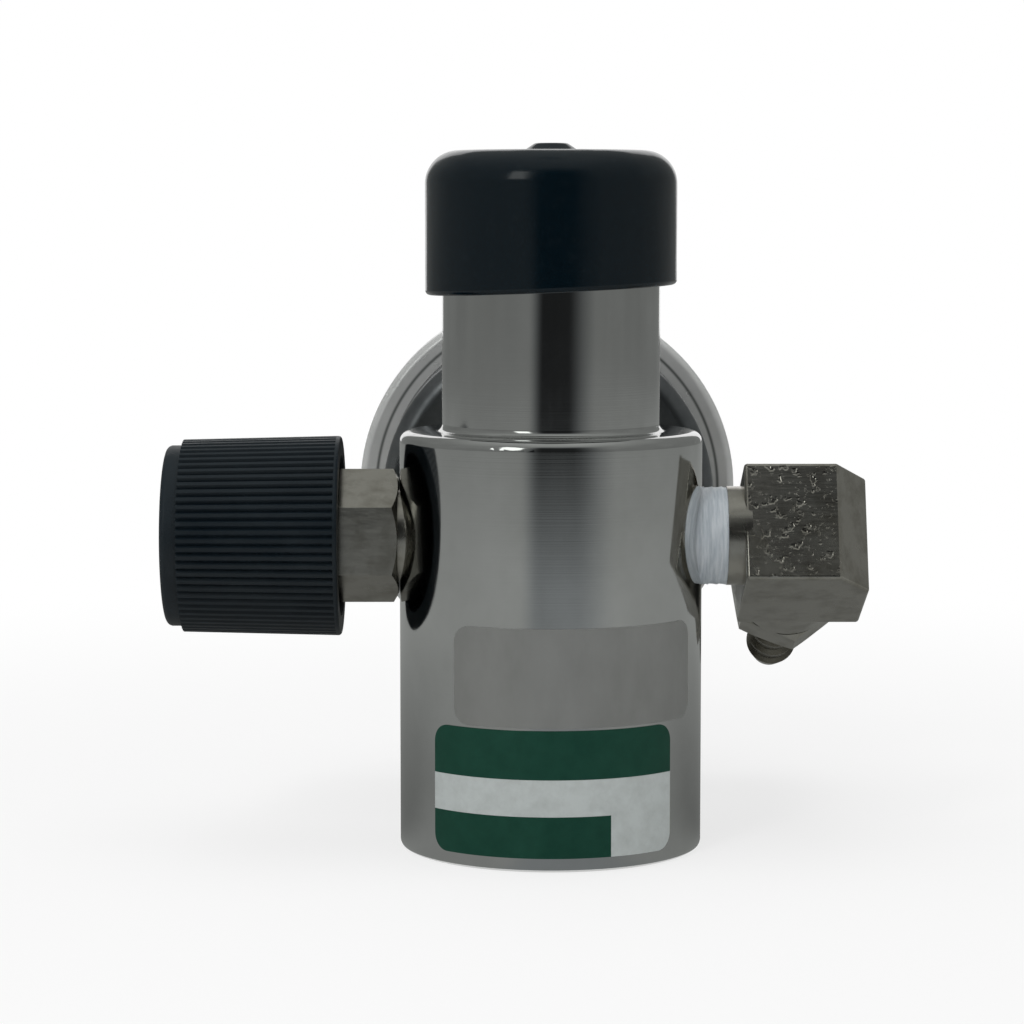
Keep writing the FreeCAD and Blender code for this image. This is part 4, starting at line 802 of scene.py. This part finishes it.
def wall_tone_and_table_shadow(tree, reach, bearing, rise):
    """Table and walls: painted shadow of the part dims the table round it, palest at arm's length,
    a little lighter above.
    """
    # The table is painted dim round the part as its shadow, dimmer behind it.
    behind = smooth(tree, maths(tree, "ABSOLUTE", bearing), 1.2, 2.0)
    table = spread(tree, behind, 0.0, 1.0, TABLE_SHADOW, TABLE_SHADOW_BEHIND)
    near = spread(tree, reach, 0.04, 0.25, table, WALL_TONE)
    far = spread(tree, reach, 0.30, 1.20, WALL_TONE, WALL_TONE_FAR)
    lift = spread(tree, rise, 0.2, 1.3, 0.0, CEILING_LIFT)
    return maths(tree, "ADD", maths(tree, "MINIMUM", near, far), lift)


def window_tone(tree, bearing, rise):
    """Bright window, high on the left, that shows as a small light on the cap."""
    across = soft_field(tree, bearing, WINDOW_LEFT, WINDOW_RIGHT)
    tall = soft_field(tree, rise, WINDOW_SILL, WINDOW_HEAD)
    return maths(tree, "MULTIPLY", maths(tree, "MULTIPLY", across, tall), WINDOW_BRIGHT)


def room_material():
    """Tones that shiny surfaces show: grey walls, a window, a dark screen with its painted shade on
    the table, and the part's painted shadow on the table.
    """
    material, tree = new_material("mirrored_room")[:2]
    reach, bearing, rise = where(tree)
    sides = soft_field(tree, bearing, in_radians(SCREEN_LEFT), in_radians(SCREEN_RIGHT))
    screen = maths(tree, "MULTIPLY", sides, smooth(tree, rise, *in_radians(SCREEN_TOP)))
    # On the table the screen deepens with distance: partly the dark figure by the camera, partly
    # its painted shade.
    depth = spread(tree, reach, 0.12, 0.78, *SCREEN_DEPTH)
    shade = maths(tree, "SUBTRACT", 1.0, maths(tree, "MULTIPLY", screen, depth))
    drift = spread(tree, noise(tree, place(tree), 1.6, 2.0, 0.5), 0.3, 0.7, 0.92, 1.08)
    shaded = maths(tree, "MULTIPLY", wall_tone_and_table_shadow(tree, reach, bearing, rise), shade)
    drifting = maths(tree, "MULTIPLY", shaded, drift)
    tone = maths(tree, "ADD", drifting, window_tone(tree, bearing, rise))
    tint = blend_colour(tree, screen, (0.97, 1.0, 0.97), (0.94, 1.0, 1.02))
    glow = add_node(tree, "ShaderNodeEmission", {"Color": tint, "Strength": tone})
    tree.links.new(glow.outputs["Emission"], tree.nodes["Material Output"].inputs["Surface"])
    return material


DOME_RADIUS = 1.6
DOME_OPENING = math.radians(18.0)
OPENING_RINGS = 3
BOARD_RADIUS = 1.7
BOARD_HEIGHT = 0.4 * MM


def mirrored_room():
    """Table board and a dome, open low at the back where the white backdrop shows."""
    material = room_material()
    around = 36
    rings = 8
    board = [(0.0, 0.0, BOARD_HEIGHT)]
    for step in range(around):
        angle = 2.0 * math.pi * step / around
        board.append((BOARD_RADIUS * math.cos(angle), BOARD_RADIUS * math.sin(angle), BOARD_HEIGHT))
    slices = [(0, 1 + step, 1 + (step + 1) % around) for step in range(around)]
    stage_piece("table_board", board, slices, material, only_mirrored=True)
    walls = []
    panels = []
    for step in range(around):
        bearing = 2.0 * math.pi * step / around
        for ring in range(rings + 1):
            rise = math.radians(90.0) * ring / rings
            flat = DOME_RADIUS * math.cos(rise)
            height = DOME_RADIUS * math.sin(rise)
            walls.append((flat * math.sin(bearing), -flat * math.cos(bearing), height))
    for step in range(around):
        middle = 2.0 * math.pi * (step + 0.5) / around
        for ring in range(rings):
            if abs(middle - math.pi) < DOME_OPENING and ring < OPENING_RINGS:
                continue
            first = step * (rings + 1) + ring
            beside = ((step + 1) % around) * (rings + 1) + ring
            panels.append((first, beside, beside + 1, first + 1))
    stage_piece("room_walls", walls, panels, material, only_mirrored=True)


def world():
    """White wherever the background shows; even light otherwise."""
    scene_world = bpy.data.worlds.new("studio")
    bpy.context.scene.world = scene_world
    scene_world.use_nodes = True
    tree = scene_world.node_tree
    tree.nodes.clear()
    even = add_node(tree, "ShaderNodeBackground", {"Color": (1, 1, 1, 1), "Strength": 0.5})
    white = add_node(tree, "ShaderNodeBackground", {"Color": (1, 1, 1, 1), "Strength": 1.0})
    both = add_node(tree, "ShaderNodeMixShader", {
        "Fac": background_rays(tree),
        1: even.outputs["Background"], 2: white.outputs["Background"]})
    end = add_node(tree, "ShaderNodeOutputWorld")
    tree.links.new(both.outputs["Shader"], end.inputs["Surface"])


def lamp(name, spot, target, size, watts):
    """Soft lamp aimed at a point, and not seen in shiny surfaces."""
    light = bpy.data.lights.new(name, "AREA")
    light.shape = "RECTANGLE"
    light.size = size[0]
    light.size_y = size[1]
    light.energy = watts
    holder = in_scene(name, light)
    holder.location = spot
    holder.rotation_euler = (Vector(target) - Vector(spot)).to_track_quat("-Z", "Y").to_euler()
    holder.visible_glossy = False


def camera():
    """The photograph's viewing angle."""
    data = bpy.data.cameras.new("photo_camera")
    data.lens = CAMERA_LENS
    data.sensor_width = SENSOR
    data.clip_start = 0.01
    data.clip_end = 20.0
    holder = in_scene("photo_camera", data)
    holder.location = (CAMERA_SIDE, -CAMERA_DISTANCE, CAMERA_HEIGHT)
    holder.rotation_euler = (math.radians(90.0 - CAMERA_PITCH), 0, 0)
    bpy.context.scene.camera = holder


FLOOR_HALF = 4.0
AIM = (0, 0, 50 * MM)


def studio():
    """Floor, room, light and camera."""
    corners = [(side * FLOOR_HALF, depth * FLOOR_HALF, 0)
               for side, depth in ((-1, -1), (1, -1), (1, 1), (-1, 1))]
    stage_piece("floor", corners, [(0, 1, 2, 3)], floor_material())
    mirrored_room()
    world()
    lamp("overhead", (-0.1, -0.05, 0.9), AIM, (0.9, 0.9), 4.0)
    lamp("window", (-0.28, -0.55, 0.62), AIM, (0.14, 0.2), 1.2)
    camera()


dress_nodes()
inlet_thread()
ink = dial_marks()
dial_numbers(ink)
tape_wraps()
studio()

bpy.context.scene.view_settings.view_transform = "Standard"
